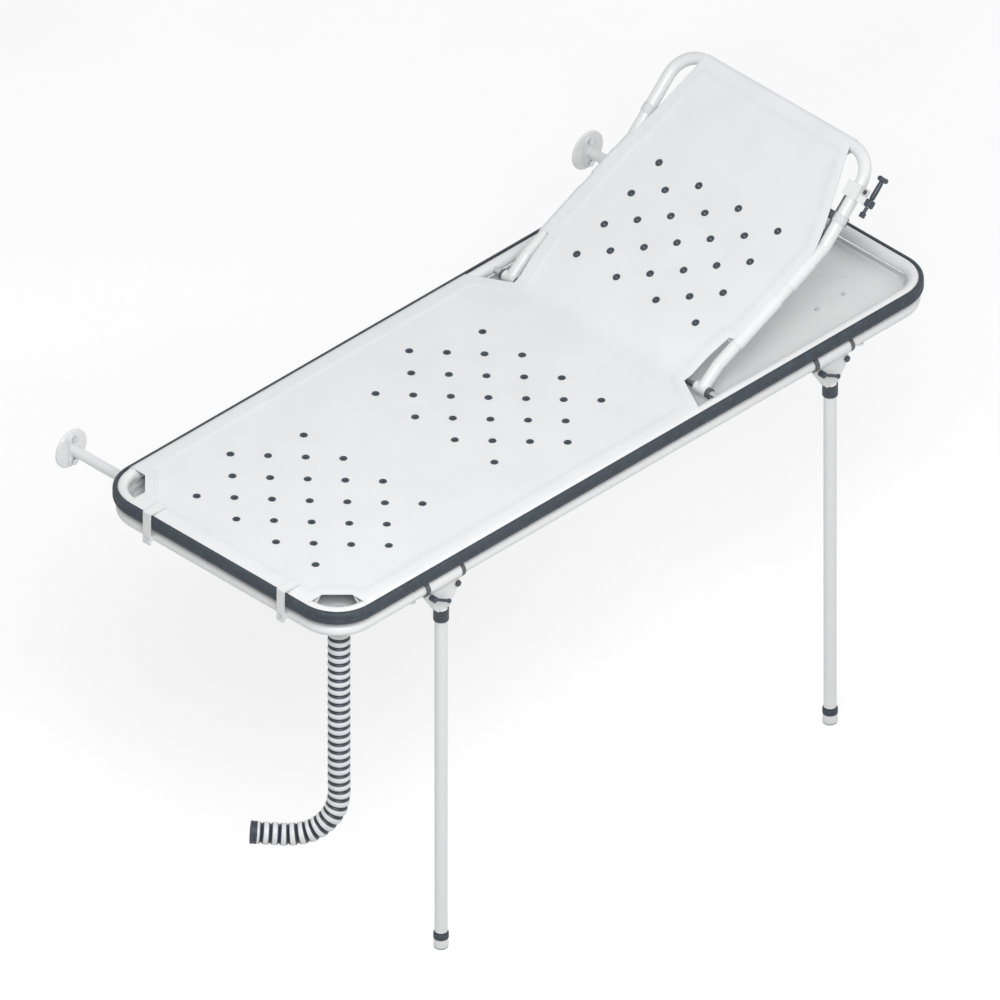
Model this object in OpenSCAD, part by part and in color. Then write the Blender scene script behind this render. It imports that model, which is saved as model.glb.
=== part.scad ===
// Wall-mounted shower stretcher, folding, with an adjustable backrest.
// Millimetres. X runs from the foot end to the head end, +Y points into the wall, +Z is up.
// The origin is the middle of the four wall screws, on the wall's face.

/* [Frame] */
// Length of the frame over its end tubes
frame_l = 1800; // [1760:10:1860]
// Width of the frame over its side tubes
frame_w = 717; // [700:1:760]
// Outside diameter of the frame tubes
tube_d = 28; // [26:1:30]
// Wall thickness of the frame tubes
tube_t = 2; // [1.5:0.5:3]
// Bend radius of the frame corners, at the tube's axis
corner_r = 80; // [74:1:84]
// Clear gap between the upper and the lower frame tubes
frame_gap = 13.5; // [12.5:0.5:16]
// How far the rubber bumper stands out from the upper tube
bumper_out = 7; // [4:0.5:7]
// Height of the rubber bumper
bumper_h = 28; // [22:1:30]

/* [Wall mount] */
// Wall face to the axis that the stretcher folds about
wall_gap = 237; // [220:1:260]
// Foot-end tube to the first wall flange
flange_inset = 129; // [124:1:134]
// Head-end tube to the second wall flange
flange_inset_head = 99; // [99:1:104]
// Diameter of a wall flange
flange_d = 90; // [84:1:110]
// Distance between the two screws of a flange
screw_pitch = 56; // [50:1:60]
// Diameter of the wall screws
screw_d = 8; // [6:0.5:10]
// Outside diameter of the bracket arms
arm_d = 24; // [20:1:25]
// Fold axis above the axis of the bracket arms
arm_drop = 34; // [33:1:40]

/* [Legs] */
// Upper frame's axis above the floor
bed_h = 993; // [900:5:1050]
// Foot-end tube to the first leg
leg_near = 311; // [290:1:340]
// Head-end tube to the second leg
leg_inset_head = 298; // [288:1:322]
// Width of a leg bracket along the frame
bracket_w = 94; // [84:1:100]
// Diameter of the rubber foot
foot_d = 33; // [32:1:40]

/* [Backrest] */
// Head-end tube to the backrest's hinge axle
hinge_inset = 622; // [612:1:632]
// Frame's side tube to the backrest's side tube, both over the outside
back_inset = 58.5; // [54:0.5:66]
// Diameter of the hinge axle
axle_d = 16; // [14:1:18]
// Corner radius at the top of the backrest
back_corner_r = 65; // [50:1:80]

/* [Lying sheet] */
// Thickness of the sheet
sheet_t = 1.5; // [1:0.1:2]
// Outside diameter of a drain eyelet
eyelet_d = 16; // [14:1:18]
// Bore of a drain eyelet
eyelet_bore = 5; // [4:0.5:7]

/* [Drain] */
// Outside diameter of the ribbed hose
hose_d = 50; // [44:1:50]
// Bore of the ribbed hose
hose_bore = 38; // [34:1:40]

/* [Hidden] */

$fn = 48;
over = 1;
seat_gap = 0.3;
run_fit = 0.05;
face_gap = 0.15;

// Where the tubes run
axis_l = frame_l - tube_d;
axis_w = frame_w - tube_d;
flange_pitch = axis_l - flange_inset - flange_inset_head;
x_foot = -(flange_inset + flange_pitch / 2);
x_head = x_foot + axis_l;
y_wall = -wall_gap;
y_front = -(wall_gap + axis_w);
hinge_x = axis_l - hinge_inset;
leg_far = axis_l - leg_inset_head;
back_w = frame_w - 2 * back_inset;
x_mid = (x_foot + x_head) / 2;
y_mid = (y_front + y_wall) / 2;
z_low = arm_drop;
z_up = z_low + tube_d + frame_gap;
z_floor = z_up - bed_h;
tube_r = tube_d / 2;

// Wall flanges, arms and their bearings
flange_t = 5;
flange_edge = 2;
plate_w = 26;
plate_h = 76;
plate_t = 6;
screw_out = 10;
screw_neck_add = 0.6;
screw_neck_d = screw_d + screw_neck_add;
screw_head_d = 15;
screw_head_t = 5;
barrel_l = 26;
bush_t = 2;
barrel_t = 3;
barrel_r = tube_r + bush_t + barrel_t;
web_w = 18;
pivot_collar_w = 5;
pivot_collar_t = 5;
flange_xs = [-flange_pitch / 2, flange_pitch / 2];

// Frame details
cross_d = 25;
cross_share = 0.3674;
cross_ahead = 406;
cross_head = 484;
cross_xs = [axis_l * cross_share, hinge_x, hinge_x + cross_ahead, hinge_x + cross_head];
seam_share = 0.5113;
seam_x = axis_l * seam_share;
spigot_l = 88;
bolt_d = 8;
bolt_head_d = 15;
bolt_head_t = 5;
spacer_d = 14;
bolt_near = 224;
bolt_ahead = 414;
spacer_share = 0.316;
spacer_ahead = 80;
bolt_xs = [bolt_near, hinge_x + bolt_ahead];
plain_spacer_xs = [axis_l * spacer_share, hinge_x + spacer_ahead];
bumper_mid = 3;
bumper_bite = 6;

// Drip tray
tray_t = 1.5;
tray_inset = 19;
tray_z = z_low + cross_d / 2 + seat_gap;
tray_top = tray_z + tray_t;
tray_lip = z_up - tube_r - seat_gap - tray_z;
tray_screw_d = 5;
tray_screw_head = 10;
tray_screw_t = 2.5;
tray_screw_in = 120;

// Hooks
hook_w = 20;
hook_t = 5;
hook_rise = 80;
hook_reach = 50;
hook_off = 200;
hook_screw_d = 5;

// Sheet
sleeve_gap = 0.3;
sleeve_r = tube_r + sleeve_gap;
sheet_z = z_up + sleeve_r;
back_lift = sleeve_r - seat_gap / 2;
corner_cut = 104;
seat_stop = 21;
side_stop = 69;
seat_end = hinge_x - seat_stop;
side_end = hinge_x - side_stop;
waist_in = 91;
hole_pitch_x = 53.3;
hole_pitch_y = 59.2;
seat_hole_near_share = 0.2284;
seat_hole_far_share = 0.6933;
seat_hole_xs = [hinge_x * seat_hole_near_share, hinge_x * seat_hole_far_share];
hole_column_reach = [[0, 4], [1, 3], [2, 2], [3, 3]];
eyelet_lip = 1.2;
eyelet_neck = 12;

// Backrest: points of its side tube in X and Z from the hinge
back_y = (back_w - tube_d) / 2;
back_1 = [48, 38];
back_2 = [365, 185];
back_3 = [518, 337];
back_hole_mid = [217, 116];
back_hole_pitch = 45;
brace_d = 20;
prop_x = 240;
brace_at = [prop_x, back_1[1] + (prop_x - back_1[0]) * (back_2[1] - back_1[1]) / (back_2[0] - back_1[0])];
axle_barrel_w = 34;
axle_bush_t = 2;
axle_barrel_t = 3;
axle_collar_w = 8;
axle_collar_t = 4;
back_start = atan2(back_1[1], back_1[0]);
back_tilt = atan2(back_3[1] - back_2[1], back_3[0] - back_2[0]);
back_slope = atan2(back_2[1] - back_1[1], back_2[0] - back_1[0]);
head_l = norm(back_3 - back_2);
mitre_1 = (back_start + back_slope) / 2;
mitre_2 = (back_slope + back_tilt) / 2;

// Prop, slide shoe and guide rail
prop_d = 16;
prop_eye_r = 13.5;
prop_eye_w = 30;
prop_tip_r = 9;
prop_tip_w = 12;
pin_d = 8;
rail_ahead = 368;
rail_l = 210;
rail_from = hinge_x + rail_ahead;
rail_to = rail_from + rail_l;
rail_w = 42;
rail_h = 12;
rail_t = 3;
rail_slot = 14;
shoe_l = 44;
shoe_w = 34;
shoe_body_t = 6;
ear_t = 5;
ear_r = 9;
brake_d = 8;
brake_head_d = 12;
brake_head_t = 3;
brake_x = 16;
shoe_x = hinge_x + 2 * prop_x;
rail_top = tray_top + rail_h;

// Release handle
block_u = 135;
block_l = 34;
block_s = 38;
rod_out = 44;
rod_d = 8;
rod_l = 98;
rod_pull = 12;
tee_l = 30;
tee_d = 9;
knob_d = 14;
knob_l = 12;
strap_w = 20;
strap_u = 58;
cable_d = 5;
cable_elbow_d = 7;

// Legs
bracket_t = 16;
bracket_skirt = 30;
bracket_h = 76;
sleeve_wall = 3.5;
collar_d = 34;
collar_h = 28;
stem_d = 12;
stem_l = 60;
foot_h = 38;
adjust_gap = 3;
adjust_h = 12;
lever_l = 50;
lever_x = -38;
lever_z = -26;
hub_d = 14;
lever_rise = 30;
lever_ball_share = 0.75;
lever_screw_d = 8;
pinch_x = 41;
pinch_z = -28;
pinch_d = 8;
stop_w = 10;
stop_t = 4;

// Drain and hose
drain_x = 68;
drain_y = 62;
outlet_bore = 20;
neck_d = 34;
ball_r = 21;
ball_gap = 0.3;
ball_z = 6;
socket_open = 50;
cuff_t = 4;
cuff_z = -33;
hose_end_l = 14;
hose_lip = 2;
hose_ribs = 31;
hose_sides = 8;
hose_groove = 5;
hose_route = [
    [-833, -864, -33], [-833, -864, -73], [-833, -864, -113], [-833, -864, -153], [-833, -864, -193],
    [-833, -864, -233], [-833, -864, -273], [-833, -864, -313], [-833, -864, -353], [-833, -864, -393],
    [-833, -864, -433], [-839, -858, -473], [-855, -842, -507], [-877, -820, -529], [-904, -793, -537],
    [-930, -767, -536], [-956, -741, -533]
];

// Sweeps a section round the frame: the section's x points outward and its y up
module round_loop(l, w, r) {
    for (turn = [0, 180])
        rotate([0, 0, turn]) {
            translate([-(l / 2 - r), w / 2, 0]) rotate([90, 0, 90]) linear_extrude(l - 2 * r) children();
            translate([l / 2, w / 2 - r, 0]) rotate([90, 0, 0]) linear_extrude(w - 2 * r) children();
            translate([l / 2 - r, w / 2 - r, 0]) rotate_extrude(angle = 90) translate([r, 0]) children();
            translate([-(l / 2 - r), w / 2 - r, 0]) rotate([0, 0, 90])
                rotate_extrude(angle = 90) translate([r, 0]) children();
        }
}

module frame_loop(d, z) {
    translate([x_mid, y_mid, z]) round_loop(axis_l, axis_w, corner_r) circle(d = d);
}

module along_x(l, d) {
    rotate([0, 90, 0]) cylinder(h = l, d = d);
}

module along_y(l, d) {
    rotate([-90, 0, 0]) cylinder(h = l, d = d);
}

module ring(l, outer, inner) {
    difference() {
        cylinder(h = l, d = outer);
        translate([0, 0, -over]) cylinder(h = l + 2 * over, d = inner);
    }
}

module ring_x(l, outer, inner) {
    rotate([0, 90, 0]) ring(l, outer, inner);
}

module ring_y(l, outer, inner) {
    rotate([-90, 0, 0]) ring(l, outer, inner);
}

// Moves to a place given from the foot-end tube and the front tube
module at(x, y, z) {
    translate([x_foot + x, y_front + y, z]) children();
}

// Wall mount
module wall_flange(x) {
    color("gainsboro") translate([x, 0, 0]) difference() {
        union() {
            translate([0, -flange_t + flange_edge, 0]) along_y(flange_t - flange_edge, flange_d);
            translate([0, -flange_t, 0]) rotate([-90, 0, 0])
                cylinder(h = flange_edge, d1 = flange_d - 2 * flange_edge, d2 = flange_d);
        }
        for (side = [-1, 1])
            translate([0, -flange_t - over, side * screw_pitch / 2])
                along_y(flange_t + 2 * over, screw_neck_d + 2 * run_fit);
    }
}

module bracket_arm(x) {
    color("whitesmoke") translate([x, 0, 0]) difference() {
        union() {
            translate([0, -flange_t - plate_t, 0]) rotate([-90, 0, 0]) linear_extrude(plate_t) union() {
                square([plate_w, plate_h - plate_w], center = true);
                for (side = [-1, 1])
                    translate([0, side * (plate_h - plate_w) / 2]) circle(d = plate_w);
            }
            translate([0, y_wall, 0]) along_y(wall_gap - flange_t - plate_t, arm_d);
            translate([0, y_wall, 0]) sphere(d = arm_d);
            translate([-web_w / 2, y_wall - barrel_r / 2, 0]) cube([web_w, barrel_r, arm_drop]);
            translate([-barrel_l / 2, y_wall, z_low]) along_x(barrel_l, 2 * barrel_r);
        }
        translate([-barrel_l / 2 - over, y_wall, z_low])
            along_x(barrel_l + 2 * over, tube_d + 2 * (bush_t + run_fit));
        for (side = [-1, 1])
            translate([0, -flange_t - plate_t - over, side * screw_pitch / 2])
                along_y(plate_t + 2 * over, screw_neck_d + 2 * run_fit);
    }
}

module pivot_bushes() {
    color("dimgray") for (x = flange_xs)
        translate([x - barrel_l / 2, y_wall, z_low]) ring_x(barrel_l, tube_d + 2 * bush_t, tube_d + 2 * run_fit);
}

module wall_screws() {
    color("silver") for (x = flange_xs, side = [-1, 1])
        translate([x, -flange_t - plate_t, side * screw_pitch / 2]) {
            along_y(flange_t + plate_t + screw_out, screw_d);
            along_y(flange_t + plate_t, screw_neck_d);
            translate([0, -screw_head_t, 0]) along_y(screw_head_t, screw_head_d);
        }
}

// Frames
module lower_tubes(d, cross) {
    frame_loop(d, z_low);
    for (x = cross_xs)
        at(x, 0, z_low) along_y(axis_w, cross);
}

module bolt_holes(from, to, d) {
    for (x = bolt_xs, y = [0, axis_w])
        at(x, y, from) cylinder(h = to - from, d = d);
}

module lower_frame() {
    difference() {
        lower_tubes(tube_d, cross_d);
        lower_tubes(tube_d - 2 * tube_t, cross_d - 2 * tube_t);
        bolt_holes(z_low - tube_d, z_low + tube_d, bolt_d + 2 * run_fit);
    }
}

module lower_frame_foot() {
    color("whitesmoke") intersection() {
        lower_frame();
        at(-corner_r, -corner_r, 0) cube([seam_x + corner_r, axis_w + 2 * corner_r, z_up]);
    }
}

module lower_frame_head() {
    color("whitesmoke") intersection() {
        lower_frame();
        at(seam_x, -corner_r, 0) cube([axis_l - seam_x + corner_r, axis_w + 2 * corner_r, z_up]);
    }
}

module splice_spigots() {
    color("silver") for (y = [0, axis_w])
        at(seam_x - spigot_l / 2, y, z_low) along_x(spigot_l, tube_d - 2 * tube_t - 2 * run_fit);
}

module pivot_collars() {
    color("dimgray") for (x = flange_xs, side = [0, 1])
        translate([x + (2 * side - 1) * (barrel_l / 2 + seat_gap) - (1 - side) * pivot_collar_w, y_wall, z_low])
            ring_x(pivot_collar_w, tube_d + 2 * pivot_collar_t, tube_d + 2 * run_fit);
}

module upper_frame() {
    color("whitesmoke") difference() {
        frame_loop(tube_d, z_up);
        frame_loop(tube_d - 2 * tube_t, z_up);
        bolt_holes(z_up - tube_d, z_up, bolt_d + 2 * run_fit);
    }
}

module frame_spacers() {
    color("dimgray") difference() {
        for (x = concat(bolt_xs, plain_spacer_xs), y = [0, axis_w])
            at(x, y, z_low) cylinder(h = z_up - z_low, d = spacer_d);
        frame_loop(tube_d, z_low);
        frame_loop(tube_d, z_up);
        bolt_holes(z_low, z_up, bolt_d + 2 * run_fit);
    }
}

module frame_bolts() {
    color("silver") for (x = bolt_xs, y = [0, axis_w])
        at(x, y, z_low - tube_r - bolt_head_t) {
            cylinder(h = z_up - z_low + tube_r + bolt_head_t, d = bolt_d);
            cylinder(h = bolt_head_t, d = bolt_head_d);
        }
}

module tray_outline(inset) {
    r = corner_r - inset;
    for (x = [inset + r, axis_l - inset - r], y = [inset + r, axis_w - inset - r])
        translate([x, y]) circle(r = r);
    translate([inset + r, inset]) square([axis_l - 2 * (inset + r), axis_w - 2 * inset]);
    translate([inset, inset + r]) square([axis_l - 2 * inset, axis_w - 2 * (inset + r)]);
}

module tray_screw_places() {
    for (x = cross_xs, y = [tray_screw_in, axis_w - tray_screw_in])
        at(x, y, tray_z) children();
}

module drip_tray() {
    color("whitesmoke") difference() {
        at(0, 0, tray_z) linear_extrude(tray_t) tray_outline(tray_inset);
        at(drain_x, drain_y, tray_z - over) cylinder(h = tray_t + 2 * over, d = neck_d + 2 * run_fit);
        tray_screw_places() translate([0, 0, -over])
            cylinder(h = tray_t + 2 * over, d = tray_screw_d + 2 * run_fit);
    }
}

module tray_rim() {
    color("whitesmoke") at(0, 0, tray_top) linear_extrude(tray_lip - tray_t) difference() {
        tray_outline(tray_inset);
        tray_outline(tray_inset + tray_t);
    }
}

module tray_screws() {
    color("silver") tray_screw_places() {
        cylinder(h = tray_t + tray_screw_t, d = tray_screw_d);
        translate([0, 0, tray_t]) cylinder(h = tray_screw_t, d = tray_screw_head);
    }
}

module edge_bumper() {
    color("darkslategray") translate([x_mid, y_mid, z_up]) round_loop(axis_l, axis_w, corner_r) difference() {
        translate([tube_r - bumper_bite, -bumper_h / 2 - bumper_mid]) square([bumper_bite + bumper_out, bumper_h]);
        circle(r = sleeve_r + sheet_t + face_gap);
    }
}

// Lying sheet over the seat
module hole_grid(pitch_x, pitch_y, rows) {
    for (p = [-3:3], q = [-rows[abs(p)][1]:rows[abs(p)][1]])
        if ((p + q) % 2 == 0)
            translate([p * pitch_x, q * pitch_y]) children();
}

module seat_holes() {
    for (x = seat_hole_xs)
        translate([x, axis_w / 2]) hole_grid(hole_pitch_x, hole_pitch_y, hole_column_reach) children();
}

module seat_outline() {
    polygon([
        [corner_cut, 0], [side_end, 0], [seat_end, waist_in], [seat_end, axis_w - waist_in], [side_end, axis_w],
        [corner_cut, axis_w], [0, axis_w - corner_cut], [0, corner_cut]
    ]);
}

module seat_sheet() {
    tube = 2 * sleeve_r;
    outer = tube + 2 * sheet_t;
    color("white") difference() {
        union() {
            at(0, 0, sheet_z) linear_extrude(sheet_t) difference() {
                seat_outline();
                seat_holes() circle(d = eyelet_neck);
            }
            for (y = [0, axis_w])
                at(corner_cut, y, z_up) along_x(side_end - corner_cut, outer);
            at(0, corner_cut, z_up) along_y(axis_w - 2 * corner_cut, outer);
        }
        for (y = [0, axis_w])
            at(corner_cut - over, y, z_up) along_x(side_end - corner_cut + 2 * over, tube);
        at(0, corner_cut - over, z_up) along_y(axis_w - 2 * corner_cut + 2 * over, tube);
        for (x = concat(bolt_xs, plain_spacer_xs), y = [0, axis_w])
            at(x, y, z_low) cylinder(h = z_up - z_low, d = spacer_d + 2 * seat_gap);
    }
}

module eyelet() {
    translate([0, 0, -eyelet_lip - seat_gap / 2]) ring(eyelet_lip, eyelet_d, eyelet_bore);
    translate([0, 0, -eyelet_lip]) ring(sheet_t + 2 * eyelet_lip, eyelet_neck - seat_gap, eyelet_bore);
    translate([0, 0, sheet_t + seat_gap / 2]) ring(eyelet_lip, eyelet_d, eyelet_bore);
}

module seat_eyelets() {
    color("darkslategray") at(0, 0, sheet_z) seat_holes() eyelet();
}

// Hooks on the foot end
module hook(y) {
    out = tube_r + bumper_out + seat_gap;
    color("whitesmoke") at(0, axis_w / 2 + y - hook_w / 2, z_low - tube_r) difference() {
        union() {
            translate([-out - hook_t, 0, 0]) cube([hook_t, hook_w, hook_rise]);
            translate([-out - hook_t, 0, hook_rise - hook_t]) cube([hook_reach, hook_w, hook_t]);
            translate([-out, 0, tube_r / 2]) cube([out, hook_w, tube_r]);
        }
        translate([0, -over, tube_r]) along_y(hook_w + 2 * over, tube_d);
        translate([-out - hook_t - over, hook_w / 2, tube_r])
            along_x(out + hook_t + 2 * over, hook_screw_d + 2 * run_fit);
    }
}

module hook_screws() {
    out = tube_r + bumper_out + seat_gap + hook_t;
    color("silver") for (y = [-hook_off, hook_off])
        at(-out, axis_w / 2 + y, z_low) {
            along_x(out - tube_r, hook_screw_d);
            translate([-tray_screw_t, 0, 0]) along_x(tray_screw_t, tray_screw_head);
        }
}

// Backrest hinge
module hinge_axle() {
    color("silver") difference() {
        at(hinge_x, 0, z_up) along_y(axis_w, axle_d);
        frame_loop(tube_d, z_up);
    }
}

module axle_collars() {
    reach = axle_barrel_w / 2 + seat_gap;
    color("dimgray") for (side = [-1, 1])
        at(hinge_x, axis_w / 2 + side * (back_y + reach + axle_collar_w / 2) - axle_collar_w / 2, z_up)
            ring_y(axle_collar_w, axle_d + 2 * axle_collar_t, axle_d + 2 * run_fit);
}

// Works in the backrest's own plane: x and z from the hinge, y from the middle
module on_backrest() {
    translate([x_foot + hinge_x, y_mid, z_up]) children();
}

module in_head_plane() {
    translate([back_2[0], 0, back_2[1]]) rotate([0, -back_tilt, 0]) children();
}

module in_back_plane() {
    translate([back_1[0], 0, back_1[1]]) rotate([0, -back_slope, 0]) children();
}

// Takes away all that lies past a mitre plane through a point: ahead of it, or behind it
module past_mitre(p, rise, ahead) {
    reach = 2 * head_l;
    translate([p[0], 0, p[1]]) rotate([0, -rise, 0])
        translate([ahead ? 0 : -reach, -reach, -reach]) cube([reach, 2 * reach, 2 * reach]);
}

module both_rails() {
    for (side = [-1, 1])
        translate([0, side * back_y, 0]) children();
}

module backrest_lugs() {
    barrel_d = axle_d + 2 * axle_bush_t + 2 * axle_barrel_t;
    color("whitesmoke") on_backrest() both_rails() difference() {
        union() {
            rotate([0, -back_start, 0]) along_x(norm(back_1) + tube_r, tube_d);
            translate([0, -axle_barrel_w / 2, 0]) along_y(axle_barrel_w, barrel_d);
        }
        past_mitre(back_1, mitre_1, true);
        translate([0, -axle_barrel_w, 0]) along_y(2 * axle_barrel_w, axle_d + 2 * axle_bush_t + 2 * run_fit);
    }
}

module backrest_rails() {
    run = norm(back_2 - back_1);
    color("whitesmoke") on_backrest() both_rails() difference() {
        in_back_plane() translate([-tube_r, 0, 0]) ring_x(run + tube_d, tube_d, tube_d - 2 * tube_t);
        past_mitre(back_1, mitre_1, false);
        past_mitre(back_2, mitre_2, true);
    }
}

module tube_section() {
    difference() {
        circle(d = tube_d);
        circle(d = tube_d - 2 * tube_t);
    }
}

module backrest_hoop() {
    bar = 2 * (back_y - back_corner_r);
    color("whitesmoke") on_backrest() difference() {
        in_head_plane() {
            for (side = [0, 1])
                mirror([0, side, 0]) {
                    translate([-tube_r, back_y, 0]) rotate([90, 0, 90])
                        linear_extrude(head_l - back_corner_r + tube_r) tube_section();
                    translate([head_l - back_corner_r, back_y - back_corner_r, 0])
                        rotate_extrude(angle = 90) translate([back_corner_r, 0]) tube_section();
                }
            translate([head_l, bar / 2, 0]) rotate([90, 0, 0]) linear_extrude(bar) tube_section();
        }
        past_mitre(back_2, mitre_2, false);
    }
}

module backrest_brace() {
    color("whitesmoke") on_backrest() difference() {
        translate([brace_at[0], -back_y, brace_at[1]]) ring_y(2 * back_y, brace_d, brace_d - 2 * tube_t);
        in_back_plane() both_rails() along_x(norm(back_2 - back_1), tube_d);
    }
}

module backrest_bushes() {
    color("dimgray") on_backrest() for (side = [-1, 1])
        translate([0, side * back_y - axle_barrel_w / 2, 0])
            ring_y(axle_barrel_w, axle_d + 2 * axle_bush_t, axle_d + 2 * run_fit);
}

// Lying sheet over the backrest
function lifted(p, rise, h) = [p[0] - h * sin(rise), p[1] + h * cos(rise)];

module sheet_side(h) {
    top = h + sheet_t;
    bend_1 = cos(mitre_1 - back_slope);
    bend_2 = cos(mitre_2 - back_slope);
    polygon([
        lifted([0, 0], back_start, h), lifted(back_1, mitre_1, h / bend_1), lifted(back_2, mitre_2, h / bend_2),
        lifted(back_3, back_tilt, h), lifted(back_3, back_tilt, top), lifted(back_2, mitre_2, top / bend_2),
        lifted(back_1, mitre_1, top / bend_1), lifted([0, 0], back_start, top)
    ]);
}

module backrest_outline() {
    half = axis_w / 2;
    edge = back_y;
    waist = half - waist_in;
    reach = back_3[0] + tube_d;
    top = back_y - back_corner_r;
    polygon([
        [-tube_d, -waist], [back_1[0] + tube_d, -waist], [2 * back_1[0], -edge], [back_2[0] - tube_r, -edge],
        [back_2[0], -edge + tube_d], [back_3[0], -top], [reach, -top], [reach, top], [back_3[0], top],
        [back_2[0], edge - tube_d], [back_2[0] - tube_r, edge], [2 * back_1[0], edge], [back_1[0] + tube_d, waist],
        [-tube_d, waist]
    ]);
}

module back_holes() {
    in_back_plane() translate([(back_hole_mid[0] - back_1[0]) / cos(back_slope), 0, back_lift])
        hole_grid(back_hole_pitch, hole_pitch_y, [[0, 2], [1, 3], [2, 2], [3, 3]]) children();
}

module backrest_sheet() {
    tube = 2 * sleeve_r;
    outer = tube + 2 * sheet_t;
    top = back_y - back_corner_r;
    brace_u = norm(brace_at - back_1);
    sleeves = [[back_1[0], brace_u - brace_d], [brace_u + brace_d, norm(back_2 - back_1) - tube_d]];
    color("white") on_backrest() difference() {
        union() {
            intersection() {
                translate([0, back_y, 0]) rotate([90, 0, 0]) linear_extrude(2 * back_y) sheet_side(back_lift);
                translate([0, 0, -tube_d]) linear_extrude(back_3[1] + 3 * tube_d) backrest_outline();
            }
            for (side = [-1, 1], u = sleeves)
                in_back_plane() translate([u[0], side * back_y, 0]) along_x(u[1] - u[0], outer);
            in_head_plane() translate([head_l, -top, 0]) along_y(2 * top, outer);
        }
        for (side = [-1, 1])
            in_back_plane() translate([sleeves[0][0] - over, side * back_y, 0])
                along_x(sleeves[1][1] - sleeves[0][0] + 2 * over, tube);
        in_head_plane() translate([head_l, -top - over, 0]) along_y(2 * (top + over), tube);
        back_holes() translate([0, 0, -over]) cylinder(h = sheet_t + 2 * over, d = eyelet_neck);
    }
}

module backrest_eyelets() {
    color("darkslategray") on_backrest() back_holes() eyelet();
}

module sheet_straps() {
    color("darkslategray") on_backrest() in_head_plane() for (side = [-1, 1])
        translate([strap_u, side * back_y, 0]) ring_x(strap_w, 2 * (sleeve_r + sheet_t), 2 * sleeve_r);
}

// Release handle on the backrest's front tube
module at_block() {
    on_backrest() in_head_plane() translate([block_u, -back_y, 0]) children();
}

module release_block() {
    reach = rod_out + rod_d;
    color("darkslategray") at_block() difference() {
        union() {
            translate([-block_l / 2, -block_s / 2, -block_s / 2]) cube([block_l, block_s, block_s]);
            translate([-block_l / 2, -reach, -rod_d]) cube([block_l / 2, reach, 2 * rod_d]);
        }
        translate([-block_l, 0, 0]) along_x(2 * block_l, tube_d + 2 * run_fit);
        translate([-block_l, -rod_out, 0]) along_x(2 * block_l, rod_d + 2 * run_fit);
        translate([block_l / 4, -block_s, 0]) along_y(block_s, hook_screw_d + 2 * run_fit);
    }
}

module block_screw() {
    color("silver") at_block() translate([block_l / 4, -block_s / 2, 0]) {
        along_y(block_s / 2 - tube_r, hook_screw_d);
        translate([0, -tray_screw_t, 0]) along_y(tray_screw_t, tray_screw_head);
    }
}

module release_rod() {
    start = -block_l / 2 - rod_pull - over - knob_l;
    color("darkslategray") at_block() translate([start, -rod_out, 0]) {
        along_x(rod_l, rod_d);
        along_x(knob_l, knob_d);
        translate([rod_l - tee_d / 2, 0, -tee_l / 2]) cylinder(h = tee_l, d = tee_d);
    }
}

module release_cable() {
    gap = sleeve_r + sheet_t + seat_gap + cable_elbow_d / 2;
    ahead = (brace_d + cable_elbow_d) / 2 + seat_gap;
    run = norm(back_2 - back_1);
    brace_u = norm(brace_at - back_1);
    color("dimgray") on_backrest() {
        in_back_plane() translate([brace_u + ahead, -back_y + gap, 0]) {
            along_x(run - brace_u - ahead, cable_d);
            sphere(d = cable_elbow_d);
            along_y(back_y - gap - prop_eye_w / 2 - seat_gap, cable_d);
        }
        in_head_plane() translate([0, -back_y + gap, 0]) {
            sphere(d = cable_elbow_d);
            along_x(block_u - block_l / 2, cable_d);
        }
    }
}

// Prop strut, slide shoe and rail
module at_prop() {
    translate([x_foot + hinge_x + brace_at[0], y_mid, z_up + brace_at[1]])
        rotate([0, atan2(brace_at[1], brace_at[0]), 0]) children();
}

module prop_strut() {
    reach = norm(brace_at);
    color("silver") at_prop() difference() {
        union() {
            along_x(reach, prop_d);
            translate([0, -prop_eye_w / 2, 0]) along_y(prop_eye_w, 2 * prop_eye_r);
            translate([reach, -prop_tip_w / 2, 0]) along_y(prop_tip_w, 2 * prop_tip_r);
        }
        translate([0, -prop_eye_w, 0]) along_y(2 * prop_eye_w, brace_d + 2 * run_fit);
        translate([reach, -prop_eye_w, 0]) along_y(2 * prop_eye_w, pin_d + 2 * run_fit);
        for (side = [-1, 1])
            translate([reach, side * prop_tip_w, 0]) rotate([0, 90, 0])
                translate([0, 0, -ear_r - prop_tip_r])
                linear_extrude(2 * ear_r + 2 * prop_tip_r) square([2 * prop_tip_w, prop_tip_w], center = true);
    }
}

module guide_rail() {
    inner = rail_w - 2 * rail_t;
    color("silver") at(rail_from, axis_w / 2, tray_top) difference() {
        translate([0, -rail_w / 2, 0]) cube([rail_to - rail_from, rail_w, rail_h]);
        translate([-over, -inner / 2, rail_t]) cube([rail_to - rail_from + 2 * over, inner, rail_h - 2 * rail_t]);
        translate([-over, -rail_slot / 2, rail_t]) cube([rail_to - rail_from + 2 * over, rail_slot, rail_h]);
    }
}

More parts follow.
